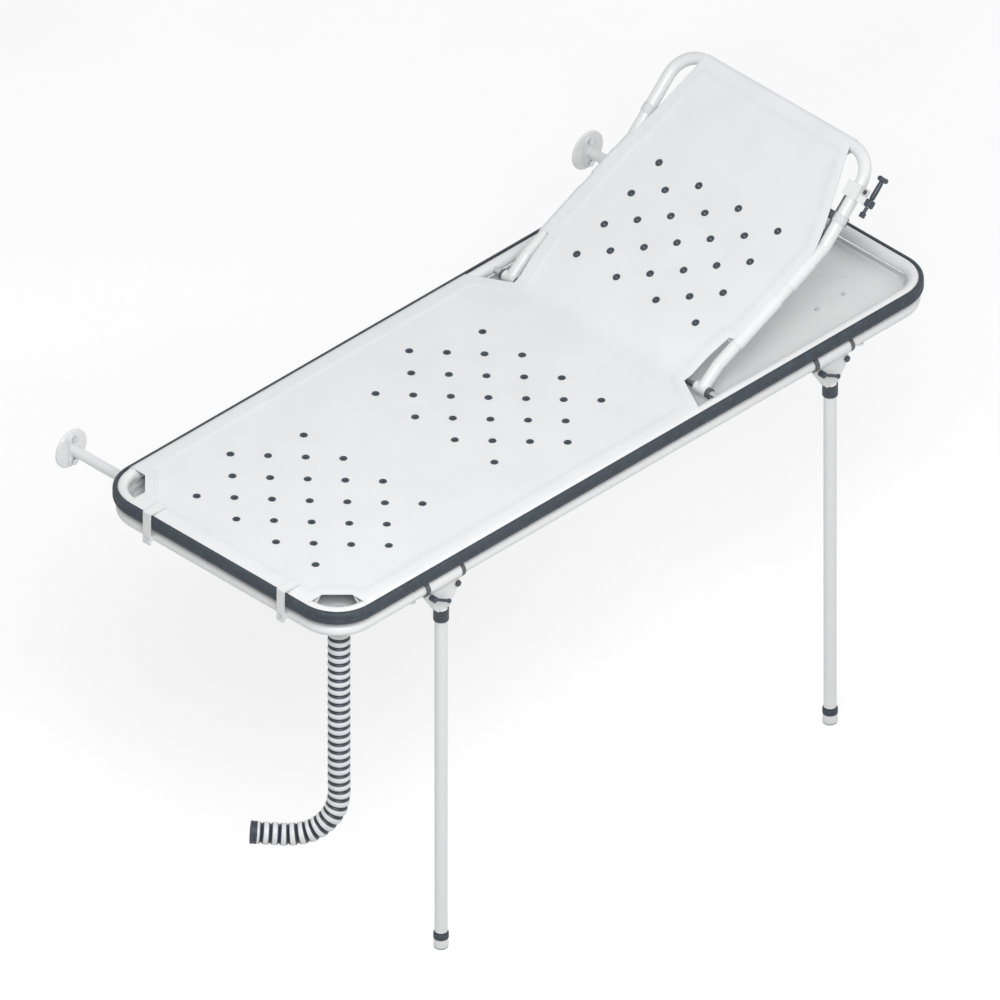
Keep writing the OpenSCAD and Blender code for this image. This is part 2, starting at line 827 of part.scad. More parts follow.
module slide_shoe() {
    lip_w = rail_w - 2 * rail_t - 2 * seat_gap;
    neck_w = rail_slot - 2 * seat_gap;
    ear_in = prop_tip_w / 2 + seat_gap;
    color("dimgray") at(shoe_x, axis_w / 2, 0) difference() {
        union() {
            translate([-shoe_l / 2, -lip_w / 2, tray_top + rail_t + seat_gap])
                cube([shoe_l, lip_w, rail_h - 2 * rail_t - 2 * seat_gap]);
            translate([-shoe_l / 2, -neck_w / 2, tray_top + rail_t + seat_gap])
                cube([shoe_l, neck_w, rail_h - rail_t + shoe_body_t / 2]);
            translate([-shoe_l / 2, -shoe_w / 2, rail_top + seat_gap]) cube([shoe_l, shoe_w, shoe_body_t]);
            for (side = [-1, 1])
                translate([0, side * (ear_in + ear_t / 2) - ear_t / 2, 0]) {
                    translate([-ear_r, 0, rail_top + seat_gap]) cube([2 * ear_r, ear_t, z_up - rail_top]);
                    translate([0, 0, z_up]) along_y(ear_t, 2 * ear_r);
                }
        }
        translate([0, -shoe_w, z_up]) along_y(2 * shoe_w, pin_d + 2 * run_fit);
        translate([0, -ear_in, z_up]) along_y(2 * ear_in, 2 * prop_tip_r + 2 * seat_gap);
        translate([brake_x, 0, tray_top + rail_t]) cylinder(h = rail_h + shoe_body_t, d = brake_d + 2 * run_fit);
    }
}

module shoe_pin() {
    reach = prop_tip_w / 2 + seat_gap + ear_t;
    color("silver") at(shoe_x, axis_w / 2 - reach, z_up) {
        along_y(2 * reach, pin_d);
        for (y = [-bush_t, 2 * reach])
            translate([0, y, 0]) along_y(bush_t, brake_head_d);
    }
}

module brake_plunger() {
    low = tray_top + rail_t + seat_gap;
    high = rail_top + seat_gap + shoe_body_t + seat_gap;
    color("silver") at(shoe_x + brake_x, axis_w / 2, 0) {
        translate([0, 0, low]) cylinder(h = high - low, d = brake_d);
        translate([0, 0, high]) cylinder(h = brake_head_t, d = brake_head_d);
    }
}

// Legs
module leg_bracket(x) {
    half = bracket_w / 2;
    outer = tube_r + run_fit + sleeve_wall;
    color("whitesmoke") at(x, 0, z_low) difference() {
        union() {
            translate([-half, 0, 0]) along_x(bracket_w, 2 * outer);
            translate([0, bracket_t / 2, 0]) rotate([90, 0, 0]) linear_extrude(bracket_t) polygon([
                [-half, 0], [-half, -bracket_skirt], [-collar_d / 2, -bracket_h], [collar_d / 2, -bracket_h],
                [half, -bracket_skirt], [half, 0]
            ]);
        }
        translate([-half - over, 0, 0]) along_x(bracket_w + 2 * over, tube_d + 2 * run_fit);
        translate([lever_x, -outer - over, lever_z]) along_y(2 * (outer + over), lever_screw_d + 2 * run_fit);
        translate([pinch_x, -outer - over, pinch_z]) along_y(2 * (outer + over), pinch_d + 2 * run_fit);
    }
}

module leg_collar(x) {
    color("darkslategray") at(x, 0, z_low - bracket_h - collar_h) ring(collar_h, collar_d, tube_d + 2 * run_fit);
}

module leg_tube(x) {
    low = z_floor + foot_h + adjust_gap;
    color("whitesmoke") at(x, 0, 0) difference() {
        translate([0, 0, low]) cylinder(h = z_low - bracket_h - low, d = tube_d);
        translate([0, 0, low + adjust_h]) cylinder(h = z_low - bracket_h - low - 2 * adjust_h, d = tube_d - 2 * tube_t);
        translate([0, 0, low - over]) cylinder(h = stem_l + over, d = stem_d + 2 * run_fit);
    }
}

module leg_stops() {
    color("dimgray") for (x = [leg_near, leg_far], side = [-1, 1])
        at(x + side * (bracket_w / 2 + seat_gap + stop_w / 2) - stop_w / 2, 0, z_low)
            ring_x(stop_w, tube_d + 2 * stop_t, tube_d + 2 * run_fit);
}

module pinch_bolt(x) {
    grip = bracket_t / 2;
    color("darkslategray") at(x + pinch_x, 0, z_low + pinch_z) {
        translate([0, -grip - bolt_head_t, 0]) along_y(2 * (grip + bolt_head_t), pinch_d);
        for (y = [-grip - bolt_head_t, grip])
            translate([0, y, 0]) rotate([-90, 0, 0]) cylinder(h = bolt_head_t, d = bolt_head_d, $fn = 6);
    }
}

module clamp_lever(x) {
    grip = bracket_t / 2 + seat_gap;
    color("darkslategray") at(x + lever_x, 0, z_low + lever_z) {
        translate([0, -grip - bolt_head_t, 0]) along_y(2 * grip + bolt_head_t, lever_screw_d);
        translate([0, -grip - hub_d, 0]) along_y(hub_d, hub_d);
        translate([0, -grip - hub_d * lever_ball_share, 0]) rotate([0, lever_rise, 0]) {
            along_x(lever_l, hub_d / 2);
            translate([lever_l, 0, 0]) sphere(d = hub_d * lever_ball_share);
        }
    }
}

module rubber_foot(x) {
    low = z_floor + foot_h + adjust_gap;
    color("darkslategray") at(x, 0, z_floor) {
        cylinder(h = foot_h, d = foot_d);
        cylinder(h = low - z_floor + stem_l - adjust_gap, d = stem_d);
    }
}

// Drain
module drain_outlet() {
    color("dimgray") at(drain_x, drain_y, 0) difference() {
        union() {
            translate([0, 0, tray_top]) cylinder(h = hose_lip, d = neck_d + 2 * cuff_t);
            translate([0, 0, ball_z]) cylinder(h = tray_top - ball_z, d = outlet_bore + cuff_t);
            translate([0, 0, tray_z - seat_gap - cuff_t]) cylinder(h = cuff_t, d = neck_d + 2 * cuff_t);
            translate([0, 0, tray_z - seat_gap - over]) cylinder(h = tray_t + seat_gap + 2 * over, d = neck_d);
            translate([0, 0, ball_z]) sphere(r = ball_r);
        }
        translate([0, 0, ball_z - ball_r - over]) cylinder(h = tray_top + ball_r + cuff_t, d = outlet_bore);
    }
}

module hose_cuff() {
    inner = ball_r + ball_gap;
    outer = hose_d / 2;
    cut = inner * cos(socket_open);
    color("darkslategray") at(drain_x, drain_y, 0) difference() {
        translate([0, 0, cuff_z]) cylinder(h = ball_z - cut - cuff_z, r = outer);
        translate([0, 0, ball_z]) sphere(r = inner);
        translate([0, 0, cuff_z - over]) cylinder(h = ball_z - cuff_z, d = outlet_bore);
    }
}

// The hose's route as a smooth curve through its points
function spline(a, b, c, d, t) =
    0.5 * (2 * b + (c - a) * t + (2 * a - 5 * b + 4 * c - d) * t * t + (3 * b - a - 3 * c + d) * t * t * t);
function route_point(i) = hose_route[max(0, min(len(hose_route) - 1, i))];
function route_at(t) = let(i = min(floor(t), len(hose_route) - 2))
    spline(i == 0 ? 2 * route_point(0) - route_point(1) : route_point(i - 1), route_point(i), route_point(i + 1),
        i + 2 > len(hose_route) - 1 ? 2 * route_point(i + 1) - route_point(i) : route_point(i + 2), t - i);
route_step_share = 0.01;
function unit(v) = v / norm(v);
function route_way(t) = let(last = len(hose_route) - 1)
    unit(route_at(min(last, t + route_step_share)) - route_at(max(0, t - route_step_share)));
route_across = [sqrt(1 / 2), sqrt(1 / 2), 0];
function ring_points(t, r) = let(way = route_way(t), up = cross(way, route_across), mid = route_at(t))
    [for (k = [0:hose_sides - 1]) let(turn = 360 * k / hose_sides)
        mid + r * (cos(turn) * route_across + sin(turn) * up)];

module drain_hose() {
    last = len(hose_route) - 1;
    rings = 2 * hose_ribs;
    crest = hose_d / 2;
    outside = [for (i = [0:rings]) ring_points(last * i / rings, i % 2 == 0 ? crest : crest - hose_groove)];
    inside = [for (i = [0:rings]) ring_points(last * i / rings, hose_bore / 2)];
    count = (rings + 1) * hose_sides;
    points = [for (loop = concat(outside, inside), p = loop) p];
    function at_ring(i, k, side) = side * count + i * hose_sides + k % hose_sides;
    skin = [for (i = [0:rings - 1], k = [0:hose_sides - 1], half = [0, 1]) half == 0
        ? [at_ring(i, k, 0), at_ring(i + 1, k, 0), at_ring(i, k + 1, 0)]
        : [at_ring(i, k + 1, 0), at_ring(i + 1, k, 0), at_ring(i + 1, k + 1, 0)]];
    bore = [for (i = [0:rings - 1], k = [0:hose_sides - 1], half = [0, 1]) half == 0
        ? [at_ring(i, k, 1), at_ring(i, k + 1, 1), at_ring(i + 1, k, 1)]
        : [at_ring(i, k + 1, 1), at_ring(i + 1, k + 1, 1), at_ring(i + 1, k, 1)]];
    mouth = [for (k = [0:hose_sides - 1], half = [0, 1]) half == 0
        ? [at_ring(0, k, 0), at_ring(0, k + 1, 0), at_ring(0, k, 1)]
        : [at_ring(0, k + 1, 0), at_ring(0, k + 1, 1), at_ring(0, k, 1)]];
    tail = [for (k = [0:hose_sides - 1], half = [0, 1]) half == 0
        ? [at_ring(rings, k, 0), at_ring(rings, k, 1), at_ring(rings, k + 1, 0)]
        : [at_ring(rings, k + 1, 0), at_ring(rings, k, 1), at_ring(rings, k + 1, 1)]];
    color("darkslategray") polyhedron(points, concat(skin, bore, mouth, tail));
}

module hose_end() {
    last = len(hose_route) - 1;
    way = route_way(last);
    color("darkslategray") translate(route_at(last)) rotate([0, 0, atan2(way[1], way[0])])
        rotate([0, acos(way[2]), 0]) ring(hose_end_l, hose_d, hose_bore);
}

wall_flange(flange_xs[0]);  // wall_flange_foot
wall_flange(flange_xs[1]);  // wall_flange_head
bracket_arm(flange_xs[0]);  // bracket_arm_foot
bracket_arm(flange_xs[1]);  // bracket_arm_head
pivot_bushes();
wall_screws();
lower_frame_foot();
lower_frame_head();
splice_spigots();
pivot_collars();
upper_frame();
frame_spacers();
frame_bolts();
drip_tray();
tray_rim();
tray_screws();
edge_bumper();
seat_sheet();
seat_eyelets();
hook(hook_off);  // hook_wall
hook(-hook_off);  // hook_front
hook_screws();
hinge_axle();
axle_collars();
guide_rail();
drain_outlet();
backrest_lugs();
backrest_rails();
backrest_hoop();
backrest_brace();
backrest_bushes();
backrest_sheet();
backrest_eyelets();
sheet_straps();
release_block();
block_screw();
release_cable();
release_rod();
prop_strut();
slide_shoe();
shoe_pin();
brake_plunger();
leg_bracket(leg_near);  // leg_bracket_foot
leg_bracket(leg_far);  // leg_bracket_head
leg_collar(leg_near);  // leg_collar_foot
leg_collar(leg_far);  // leg_collar_head
leg_tube(leg_near);  // leg_tube_foot
leg_tube(leg_far);  // leg_tube_head
leg_stops();
pinch_bolt(leg_near);  // pinch_bolt_foot
pinch_bolt(leg_far);  // pinch_bolt_head
clamp_lever(leg_near);  // clamp_lever_foot
clamp_lever(leg_far);  // clamp_lever_head
rubber_foot(leg_near);  // rubber_foot_foot
rubber_foot(leg_far);  // rubber_foot_head
hose_cuff();
drain_hose();
hose_end();
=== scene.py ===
import math

import bmesh
import bpy
from mathutils import Matrix, Vector
from mathutils.geometry import delaunay_2d_cdt


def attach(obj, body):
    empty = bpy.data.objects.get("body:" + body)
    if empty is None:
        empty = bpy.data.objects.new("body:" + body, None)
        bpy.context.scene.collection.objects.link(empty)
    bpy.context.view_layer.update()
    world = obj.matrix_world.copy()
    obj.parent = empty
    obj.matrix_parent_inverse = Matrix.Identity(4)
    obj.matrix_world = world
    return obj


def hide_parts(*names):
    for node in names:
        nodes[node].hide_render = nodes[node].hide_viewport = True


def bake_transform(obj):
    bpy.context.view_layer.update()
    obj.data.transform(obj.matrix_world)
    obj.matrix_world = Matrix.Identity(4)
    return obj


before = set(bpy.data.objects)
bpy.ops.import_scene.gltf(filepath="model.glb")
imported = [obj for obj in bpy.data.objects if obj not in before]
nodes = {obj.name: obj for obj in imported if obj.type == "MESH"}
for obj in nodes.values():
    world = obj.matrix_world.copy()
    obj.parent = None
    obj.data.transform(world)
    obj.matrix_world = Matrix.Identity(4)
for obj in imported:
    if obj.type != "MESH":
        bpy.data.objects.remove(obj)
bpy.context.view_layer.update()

# ---------------------------------------------------------------- sizes, in metres, as in the CAD source
X0, Y0 = -0.901, -0.926          # foot-end tube and front tube
AXIS_L, AXIS_W = 1.772, 0.689
Z_UP, Z_FLOOR = 0.0755, -0.9175  # axis of the upper tube, and the floor
TUBE_R = 0.014
CORNER_R = 0.08
SHEET_T = 0.0015
SLEEVE_R = 0.0143
HINGE_X = 1.15                   # backrest hinge, from the foot-end tube
BACK_Y = 0.286                   # backrest tubes, from the middle
BACK = [Vector((0.0, 0.0)), Vector((0.048, 0.038)), Vector((0.365, 0.185)), Vector((0.518, 0.337))]


def at(x, y, z):
    """A point given from the foot-end tube and the front tube."""
    return Vector((X0 + x, Y0 + y, z))


def angles(count):
    return [2 * math.pi * k / count for k in range(count)]


# ---------------------------------------------------------------- camera, first
def make_camera():
    middle, picture_width, distance = Vector((-0.3402, -0.8524, 0.0755)), 2.114, 5
    right = Vector((1, -1, 0)).normalized()
    up = Vector((1, 1, 2)).normalized()
    back = Vector((-1, -1, 1)).normalized()
    data = bpy.data.cameras.new("camera")
    data.type = "ORTHO"
    data.ortho_scale = picture_width
    data.clip_end = 30
    camera = bpy.data.objects.new("camera", data)
    bpy.context.scene.collection.objects.link(camera)
    turn = Matrix((right, up, back)).transposed().to_4x4()
    camera.matrix_world = Matrix.Translation(middle + distance * back) @ turn
    bpy.context.scene.camera = camera


make_camera()


# ---------------------------------------------------------------- materials
def new_material(name):
    mat = bpy.data.materials.new(name)
    mat.use_nodes = True
    tree = mat.node_tree
    shader = next(n for n in tree.nodes if n.type == "BSDF_PRINCIPLED")
    return mat, tree, shader


def add(tree, kind, **values):
    node = tree.nodes.new(kind)
    for key, value in values.items():
        if key.startswith("in_"):
            node.inputs[key[3:].replace("_", " ")].default_value = value
        else:
            setattr(node, key, value)
    return node


def noise(tree, coord, scale, detail=3.0, rough=0.5):
    n = add(tree, "ShaderNodeTexNoise", in_Scale=scale, in_Detail=detail, in_Roughness=rough)
    tree.links.new(coord, n.inputs["Vector"])
    return n


def ramp(tree, source, stops):
    n = tree.nodes.new("ShaderNodeValToRGB")
    while len(n.color_ramp.elements) < len(stops):
        n.color_ramp.elements.new(0.5)
    for element, (place, colour) in zip(n.color_ramp.elements, stops):
        element.position = place
        element.color = (*colour, 1)
    tree.links.new(source, n.inputs["Fac"])
    return n


def bump(tree, height, strength, distance, before=None):
    n = add(tree, "ShaderNodeBump", in_Strength=strength, in_Distance=distance)
    tree.links.new(height, n.inputs["Height"])
    if before is not None:
        tree.links.new(before.outputs["Normal"], n.inputs["Normal"])
    return n


def shade_of(share, tint):
    return tuple(share * t for t in tint)


def surface(name, low, high, rough, mottle, grain, depth, metal=0.0, coat=0.0):
    """Colour and roughness that drift a little over the surface, a fine grain, and soft edges."""
    edge, grain_strength, coat_rough = 0.0012, 0.3, 0.12
    mat, tree, shader = new_material(name)
    coord = add(tree, "ShaderNodeTexCoord").outputs["Object"]
    drift = noise(tree, coord, mottle, 4.0, 0.55)
    colour = ramp(tree, drift.outputs["Fac"], [(0.3, low), (0.7, high)])
    tree.links.new(colour.outputs["Color"], shader.inputs["Base Color"])
    dull = add(tree, "ShaderNodeMapRange", in_To_Min=rough[0], in_To_Max=rough[1])
    tree.links.new(drift.outputs["Fac"], dull.inputs["Value"])
    tree.links.new(dull.outputs["Result"], shader.inputs["Roughness"])
    fine = noise(tree, coord, grain, 2.0, 0.6)
    soft = add(tree, "ShaderNodeBevel", samples=4, in_Radius=edge)
    relief = bump(tree, fine.outputs["Fac"], grain_strength, depth, soft)
    tree.links.new(relief.outputs["Normal"], shader.inputs["Normal"])
    shader.inputs["Metallic"].default_value = metal
    if coat:
        shader.inputs["Coat Weight"].default_value = coat
        shader.inputs["Coat Roughness"].default_value = coat_rough
    return mat


SLATE = (0.034, 0.047, 0.062)


def rubber_material():
    """Dark slate rubber with fine pale specks, as on the dark band in the picture: the specks are painted
    highlight glints.
    """
    mat, tree, shader = new_material("slate_rubber")
    coord = add(tree, "ShaderNodeTexCoord").outputs["Object"]
    drift = noise(tree, coord, 45.0, 4.0)
    base = ramp(tree, drift.outputs["Fac"], [(0.3, shade_of(0.82, SLATE)), (0.7, shade_of(1.2, SLATE))])
    # pale specks scattered over the rubber: painted highlight glints
    cells = add(tree, "ShaderNodeTexVoronoi", in_Scale=170.0)
    tree.links.new(coord, cells.inputs["Vector"])
    painted_glint_specks = ramp(tree, cells.outputs["Distance"], [(0.06, (1, 1, 1)), (0.13, (0, 0, 0))])
    mix = add(tree, "ShaderNodeMix", data_type="RGBA")
    tree.links.new(painted_glint_specks.outputs["Color"], mix.inputs[0])
    tree.links.new(base.outputs["Color"], mix.inputs[6])
    mix.inputs[7].default_value = (0.30, 0.34, 0.38, 1)
    tree.links.new(mix.outputs[2], shader.inputs["Base Color"])
    fine = noise(tree, coord, 1400.0, 2.0)
    relief = bump(tree, fine.outputs["Fac"], 0.35, 0.00008)
    tree.links.new(relief.outputs["Normal"], shader.inputs["Normal"])
    shader.inputs["Roughness"].default_value = 0.62
    return mat


def sheet_material():
    """White coated mesh cloth: a plain weave, from the cloth's own cut coordinates."""
    mat, tree, shader = new_material("coated_cloth")
    coord = add(tree, "ShaderNodeTexCoord")
    uv = coord.outputs["UV"]
    drift = noise(tree, coord.outputs["Object"], 9.0, 3.0)
    colour = ramp(tree, drift.outputs["Fac"], [(0.3, (0.80, 0.812, 0.818)), (0.7, (0.845, 0.852, 0.852))])
    waves = []
    for direction in ("X", "Y"):
        w = add(tree, "ShaderNodeTexWave", wave_type="BANDS", bands_direction=direction, in_Scale=125.0)
        tree.links.new(uv, w.inputs["Vector"])
        waves.append(w.outputs["Fac"])
    weave = add(tree, "ShaderNodeMath", operation="MULTIPLY")
    tree.links.new(waves[0], weave.inputs[0])
    tree.links.new(waves[1], weave.inputs[1])
    shade = ramp(tree, weave.outputs[0], [(0.0, (0.90, 0.91, 0.92)), (0.5, (1, 1, 1))])
    mix = add(tree, "ShaderNodeMix", data_type="RGBA", blend_type="MULTIPLY")
    mix.inputs[0].default_value = 1
    tree.links.new(colour.outputs["Color"], mix.inputs[6])
    tree.links.new(shade.outputs["Color"], mix.inputs[7])
    tree.links.new(mix.outputs[2], shader.inputs["Base Color"])
    soft = noise(tree, coord.outputs["Object"], 26.0, 2.0)
    folds = bump(tree, soft.outputs["Fac"], 0.25, 0.0012)
    relief = bump(tree, weave.outputs[0], 0.35, 0.00035, folds)
    tree.links.new(relief.outputs["Normal"], shader.inputs["Normal"])
    shader.inputs["Roughness"].default_value = 0.55
    shader.inputs["Sheen Weight"].default_value = 0.08
    return mat


def hose_material():
    """Pale ribs with dark slate grooves, by how far a point stands out (kept in the UV): the slate is partly
    a two-tone hose's colour and partly painted shade down in the grooves and inside the bore.
    """
    mat, tree, shader = new_material("ribbed_hose")
    coord = add(tree, "ShaderNodeTexCoord")
    split = add(tree, "ShaderNodeSeparateXYZ")
    tree.links.new(coord.outputs["UV"], split.inputs["Vector"])
    # pale crests and dark slate grooves: partly the hose's two tones, partly painted shade in the grooves
    band = ramp(tree, split.outputs["X"], [(0.72, SLATE), (0.86, (0.78, 0.80, 0.81))])
    drift = noise(tree, coord.outputs["Object"], 80.0, 3.0)
    shade = ramp(tree, drift.outputs["Fac"], [(0.3, (0.88, 0.89, 0.9)), (0.7, (1, 1, 1))])
    mix = add(tree, "ShaderNodeMix", data_type="RGBA", blend_type="MULTIPLY")
    mix.inputs[0].default_value = 1
    tree.links.new(band.outputs["Color"], mix.inputs[6])
    tree.links.new(shade.outputs["Color"], mix.inputs[7])
    tree.links.new(mix.outputs[2], shader.inputs["Base Color"])
    fine = noise(tree, coord.outputs["Object"], 900.0, 2.0)
    relief = bump(tree, fine.outputs["Fac"], 0.2, 0.00006)
    tree.links.new(relief.outputs["Normal"], shader.inputs["Normal"])
    shader.inputs["Roughness"].default_value = 0.42
    return mat


WHITE_COAT = surface("white_powder_coat", (0.755, 0.765, 0.77), (0.785, 0.79, 0.79), rough=(0.30, 0.42),
                     mottle=30.0, grain=1100.0, depth=0.00006, coat=0.15)
WHITE_TRAY = surface("white_moulded_tray", (0.73, 0.74, 0.745), (0.765, 0.77, 0.77), rough=(0.24, 0.34),
                     mottle=14.0, grain=500.0, depth=0.00008, coat=0.1)
STEEL = surface("brushed_steel", (0.52, 0.53, 0.54), (0.66, 0.67, 0.68), rough=(0.24, 0.38),
                mottle=220.0, grain=1800.0, depth=0.00004, metal=1.0)
DARK_PLASTIC = surface("slate_plastic", shade_of(0.85, SLATE), shade_of(1.25, SLATE), rough=(0.42, 0.55),
                       mottle=60.0, grain=1300.0, depth=0.00007)
DARK_METAL = surface("slate_coated_steel", shade_of(0.8, SLATE), shade_of(1.1, SLATE), rough=(0.32, 0.45),
                     mottle=50.0, grain=1000.0, depth=0.00005, metal=0.2, coat=0.2)
BUSH = surface("grey_acetal", (0.085, 0.09, 0.096), (0.12, 0.125, 0.13), rough=(0.38, 0.5),
               mottle=60.0, grain=1200.0, depth=0.00005)
THREAD = surface("white_thread", (0.62, 0.63, 0.64), (0.74, 0.75, 0.76), rough=(0.6, 0.75),
                 mottle=300.0, grain=2500.0, depth=0.0001)
RUBBER = rubber_material()
SHEET = sheet_material()
HOSE = hose_material()


# ---------------------------------------------------------------- mesh helpers
def piece(name, verts, faces, mat, body, replaces=(), smooth=35.0, uvs=None):
    mesh = bpy.data.meshes.new(name)
    mesh.from_pydata([tuple(v) for v in verts], [], faces)
    if uvs is not None:
        layer = mesh.uv_layers.new(name="cut")
        for loop in mesh.loops:
            layer.data[loop.index].uv = uvs[loop.vertex_index]
    mesh.validate()
    bm = bmesh.new()
    bm.from_mesh(mesh)
    bmesh.ops.recalc_face_normals(bm, faces=bm.faces)
    for edge in bm.edges:
        if len(edge.link_faces) == 2 and edge.calc_face_angle(0) > math.radians(smooth):
            edge.smooth = False
    for face in bm.faces:
        face.smooth = True
    bm.to_mesh(mesh)
    bm.free()
    mesh.materials.append(mat)
    obj = bpy.data.objects.new(name, mesh)
    bpy.context.scene.collection.objects.link(obj)
    if body:
        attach(obj, body)
    if replaces:
        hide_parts(*replaces)
    return obj


class Shape:
    """Collects the faces of one piece."""

    def __init__(self):
        self.verts = []
        self.faces = []
        self.uvs = []

    def add(self, verts, faces, uvs=None):
        base = len(self.verts)
        self.verts += [Vector(v) for v in verts]
        self.faces += [tuple(base + i for i in f) for f in faces]
        self.uvs += uvs if uvs else [(0.0, 0.0)] * len(verts)

    def rings(self, rings, closed=False, uvs=None):
        """Skins a list of rings of points, all of one length, and caps their ends if they are open."""
        n = len(rings[0])
        verts = [p for r in rings for p in r]
        last = len(rings) if closed else len(rings) - 1
        faces = []
        for i in range(last):
            j = (i + 1) % len(rings)
            for k in range(n):
                l = (k + 1) % n
                faces.append((i * n + k, i * n + l, j * n + l, j * n + k))
        if not closed:
            faces.append(tuple(range(n))[::-1])
            faces.append(tuple((len(rings) - 1) * n + k for k in range(n)))
        self.add(verts, faces, uvs)

    def lathe(self, profile, place, sides, closed=False, uvs=None):
        """Turns a profile of (radius, height) about the z axis of a placement."""
        rings = [[place @ Vector((r * math.cos(a), r * math.sin(a), z)) for a in angles(sides)]
                 for r, z in profile]
        self.rings(rings, closed=closed, uvs=uvs)

    def block(self, place, size, edge, steps):
        """A box of a size about a placement's centre, with rounded edges."""
        bm = bmesh.new()
        bmesh.ops.create_cube(bm, size=1)
        for v in bm.verts:
            v.co = Vector(c * s for c, s in zip(v.co, size))
        bmesh.ops.bevel(bm, geom=list(bm.edges), offset=edge, segments=steps, profile=0.5, affect="EDGES")
        verts = [place @ v.co for v in bm.verts]
        faces = [tuple(v.index for v in f.verts) for f in bm.faces]
        bm.free()
        self.add(verts, faces)

    def make(self, name, mat, body, slot, replaces=(), smooth=35.0, keep_uvs=False):
        return piece(name, self.verts, self.faces, mat, body, replaces, smooth,
                     self.uvs if keep_uvs else None)


def facing(origin, axis, roll=None):
    """A placement whose z axis points along axis."""
    z = Vector(axis).normalized()
    x = Vector(roll) if roll else (Vector((0, 0, 1)) if abs(z.z) < 0.9 else Vector((1, 0, 0)))
    x = (x - z * x.dot(z)).normalized()
    y = z.cross(x)
    turn = Matrix((x, y, z)).transposed().to_4x4()
    return Matrix.Translation(Vector(origin)) @ turn


# ---------------------------------------------------------------- ribbed hose, before the rest
ROUTE = [
    (-0.833, -0.864, -0.033), (-0.833, -0.864, -0.073), (-0.833, -0.864, -0.113), (-0.833, -0.864, -0.153),
    (-0.833, -0.864, -0.193), (-0.833, -0.864, -0.233), (-0.833, -0.864, -0.273), (-0.833, -0.864, -0.313),
    (-0.833, -0.864, -0.353), (-0.833, -0.864, -0.393), (-0.833, -0.864, -0.433), (-0.839, -0.858, -0.473),
    (-0.855, -0.842, -0.507), (-0.877, -0.820, -0.529), (-0.904, -0.793, -0.537), (-0.930, -0.767, -0.536),
    (-0.956, -0.741, -0.533),
]
HOSE_RIBS, HOSE_SIDES = 31, 40
HOSE_R, HOSE_BORE, HOSE_GROOVE = 0.025, 0.019, 0.005
HOSE_SKIN = 0.0001               # kept inside the CAD hose


def route_point(i):
    last = len(ROUTE) - 1
    if i < 0:
        return 2 * Vector(ROUTE[0]) - Vector(ROUTE[1])
    if i > last:
        return 2 * Vector(ROUTE[last]) - Vector(ROUTE[last - 1])
    return Vector(ROUTE[i])


def route_at(t):
    i = min(int(t), len(ROUTE) - 2)
    f = t - i
    a, b, c, d = (route_point(i + k) for k in (-1, 0, 1, 2))
    return 0.5 * (2 * b + (c - a) * f + (2 * a - 5 * b + 4 * c - d) * f * f
                  + (3 * b - a - 3 * c + d) * f ** 3)


def route_way(t):
    last = len(ROUTE) - 1
    return (route_at(min(last, t + 0.01)) - route_at(max(0, t - 0.01))).normalized()


ACROSS = Vector((1, 1, 0)).normalized()
HOLLOW_SHADE_UV = 0.2                    # a rib height that the hose material paints dark slate: painted shade inside the bore and on the cuff's inner face round the outlet's ball


def hose_ring(t, r):
    way, mid = route_way(t), route_at(t)
    up = way.cross(ACROSS)
    return [mid + r * (math.cos(a) * ACROSS + math.sin(a) * up) for a in angles(HOSE_SIDES)]


def rib_height(turns):
    """How far a rounded rib stands out, 0 to 1: a wide crest and a narrow groove, once in each turn."""
    return abs(math.cos(math.pi * turns)) ** 0.55


def rib_radius(height):
    return HOSE_R - HOSE_GROOVE * (1 - height) - HOSE_SKIN


def make_hose():
    last = len(ROUTE) - 1
    per_rib = 8
    steps = HOSE_RIBS * per_rib
    rings, uvs = [], []
    for i in range(steps + 1):
        height = rib_height((i % per_rib) / per_rib)
        rings.append(hose_ring(last * i / steps, rib_radius(height)))
        uvs += [(height, 0.0)] * HOSE_SIDES
    # the bore is painted dark slate: painted shade inside the hose
    for i in range(steps, -1, -per_rib):
        rings.append(hose_ring(last * i / steps, HOSE_BORE))
        uvs += [(HOLLOW_SHADE_UV, 0.0)] * HOSE_SIDES
    shape = Shape()
    shape.rings(rings, closed=True, uvs=uvs)
    hose = shape.make("drain_hose_ribbed", HOSE, "hose", "dark_rubber", ["drain_hose"], keep_uvs=True)
    path = [route_at(last * i / 160) for i in range(161)]
    length = sum((b - a).length for a, b in zip(path, path[1:]))
    return hose, path, length


hose, hose_path, hose_length = make_hose()


def make_cuff():
    """The hose's own first ribs, drawn in round the outlet's ball."""
    low, length, pitch, steps = -0.033, 0.0247, 0.0207, 10
    ball_r, ball_z, neck_r = 0.0213, 0.006, 0.0101
    profile = []
    for k in range(steps + 1):
        height = rib_height(length * k / steps / pitch)
        profile.append((rib_radius(height), low + length * k / steps, height))
    # the cuff's rim and its inner face round the outlet's ball are painted dark slate: painted shade in the
    # hollow
    profile.append((0.0215, -0.0078, 0.6))
    for k in range(5):
        a = math.radians(50 - 22 * k / 4)
        profile.append((ball_r * math.sin(a), ball_z - ball_r * math.cos(a), HOLLOW_SHADE_UV))
    profile += [(neck_r, -0.016, HOLLOW_SHADE_UV), (neck_r, low, HOLLOW_SHADE_UV)]
    shape = Shape()
    place = Matrix.Translation(Vector((ROUTE[0][0], ROUTE[0][1], 0)))
    shape.lathe([(r, z) for r, z, _ in profile], place, HOSE_SIDES, closed=True,
                uvs=[(height, 0.0) for _, _, height in profile for _ in range(HOSE_SIDES)])
    return shape.make("hose_cuff_ribbed", HOSE, "hose", "dark_rubber", ["hose_cuff"], keep_uvs=True)


hose_cuff = make_cuff()


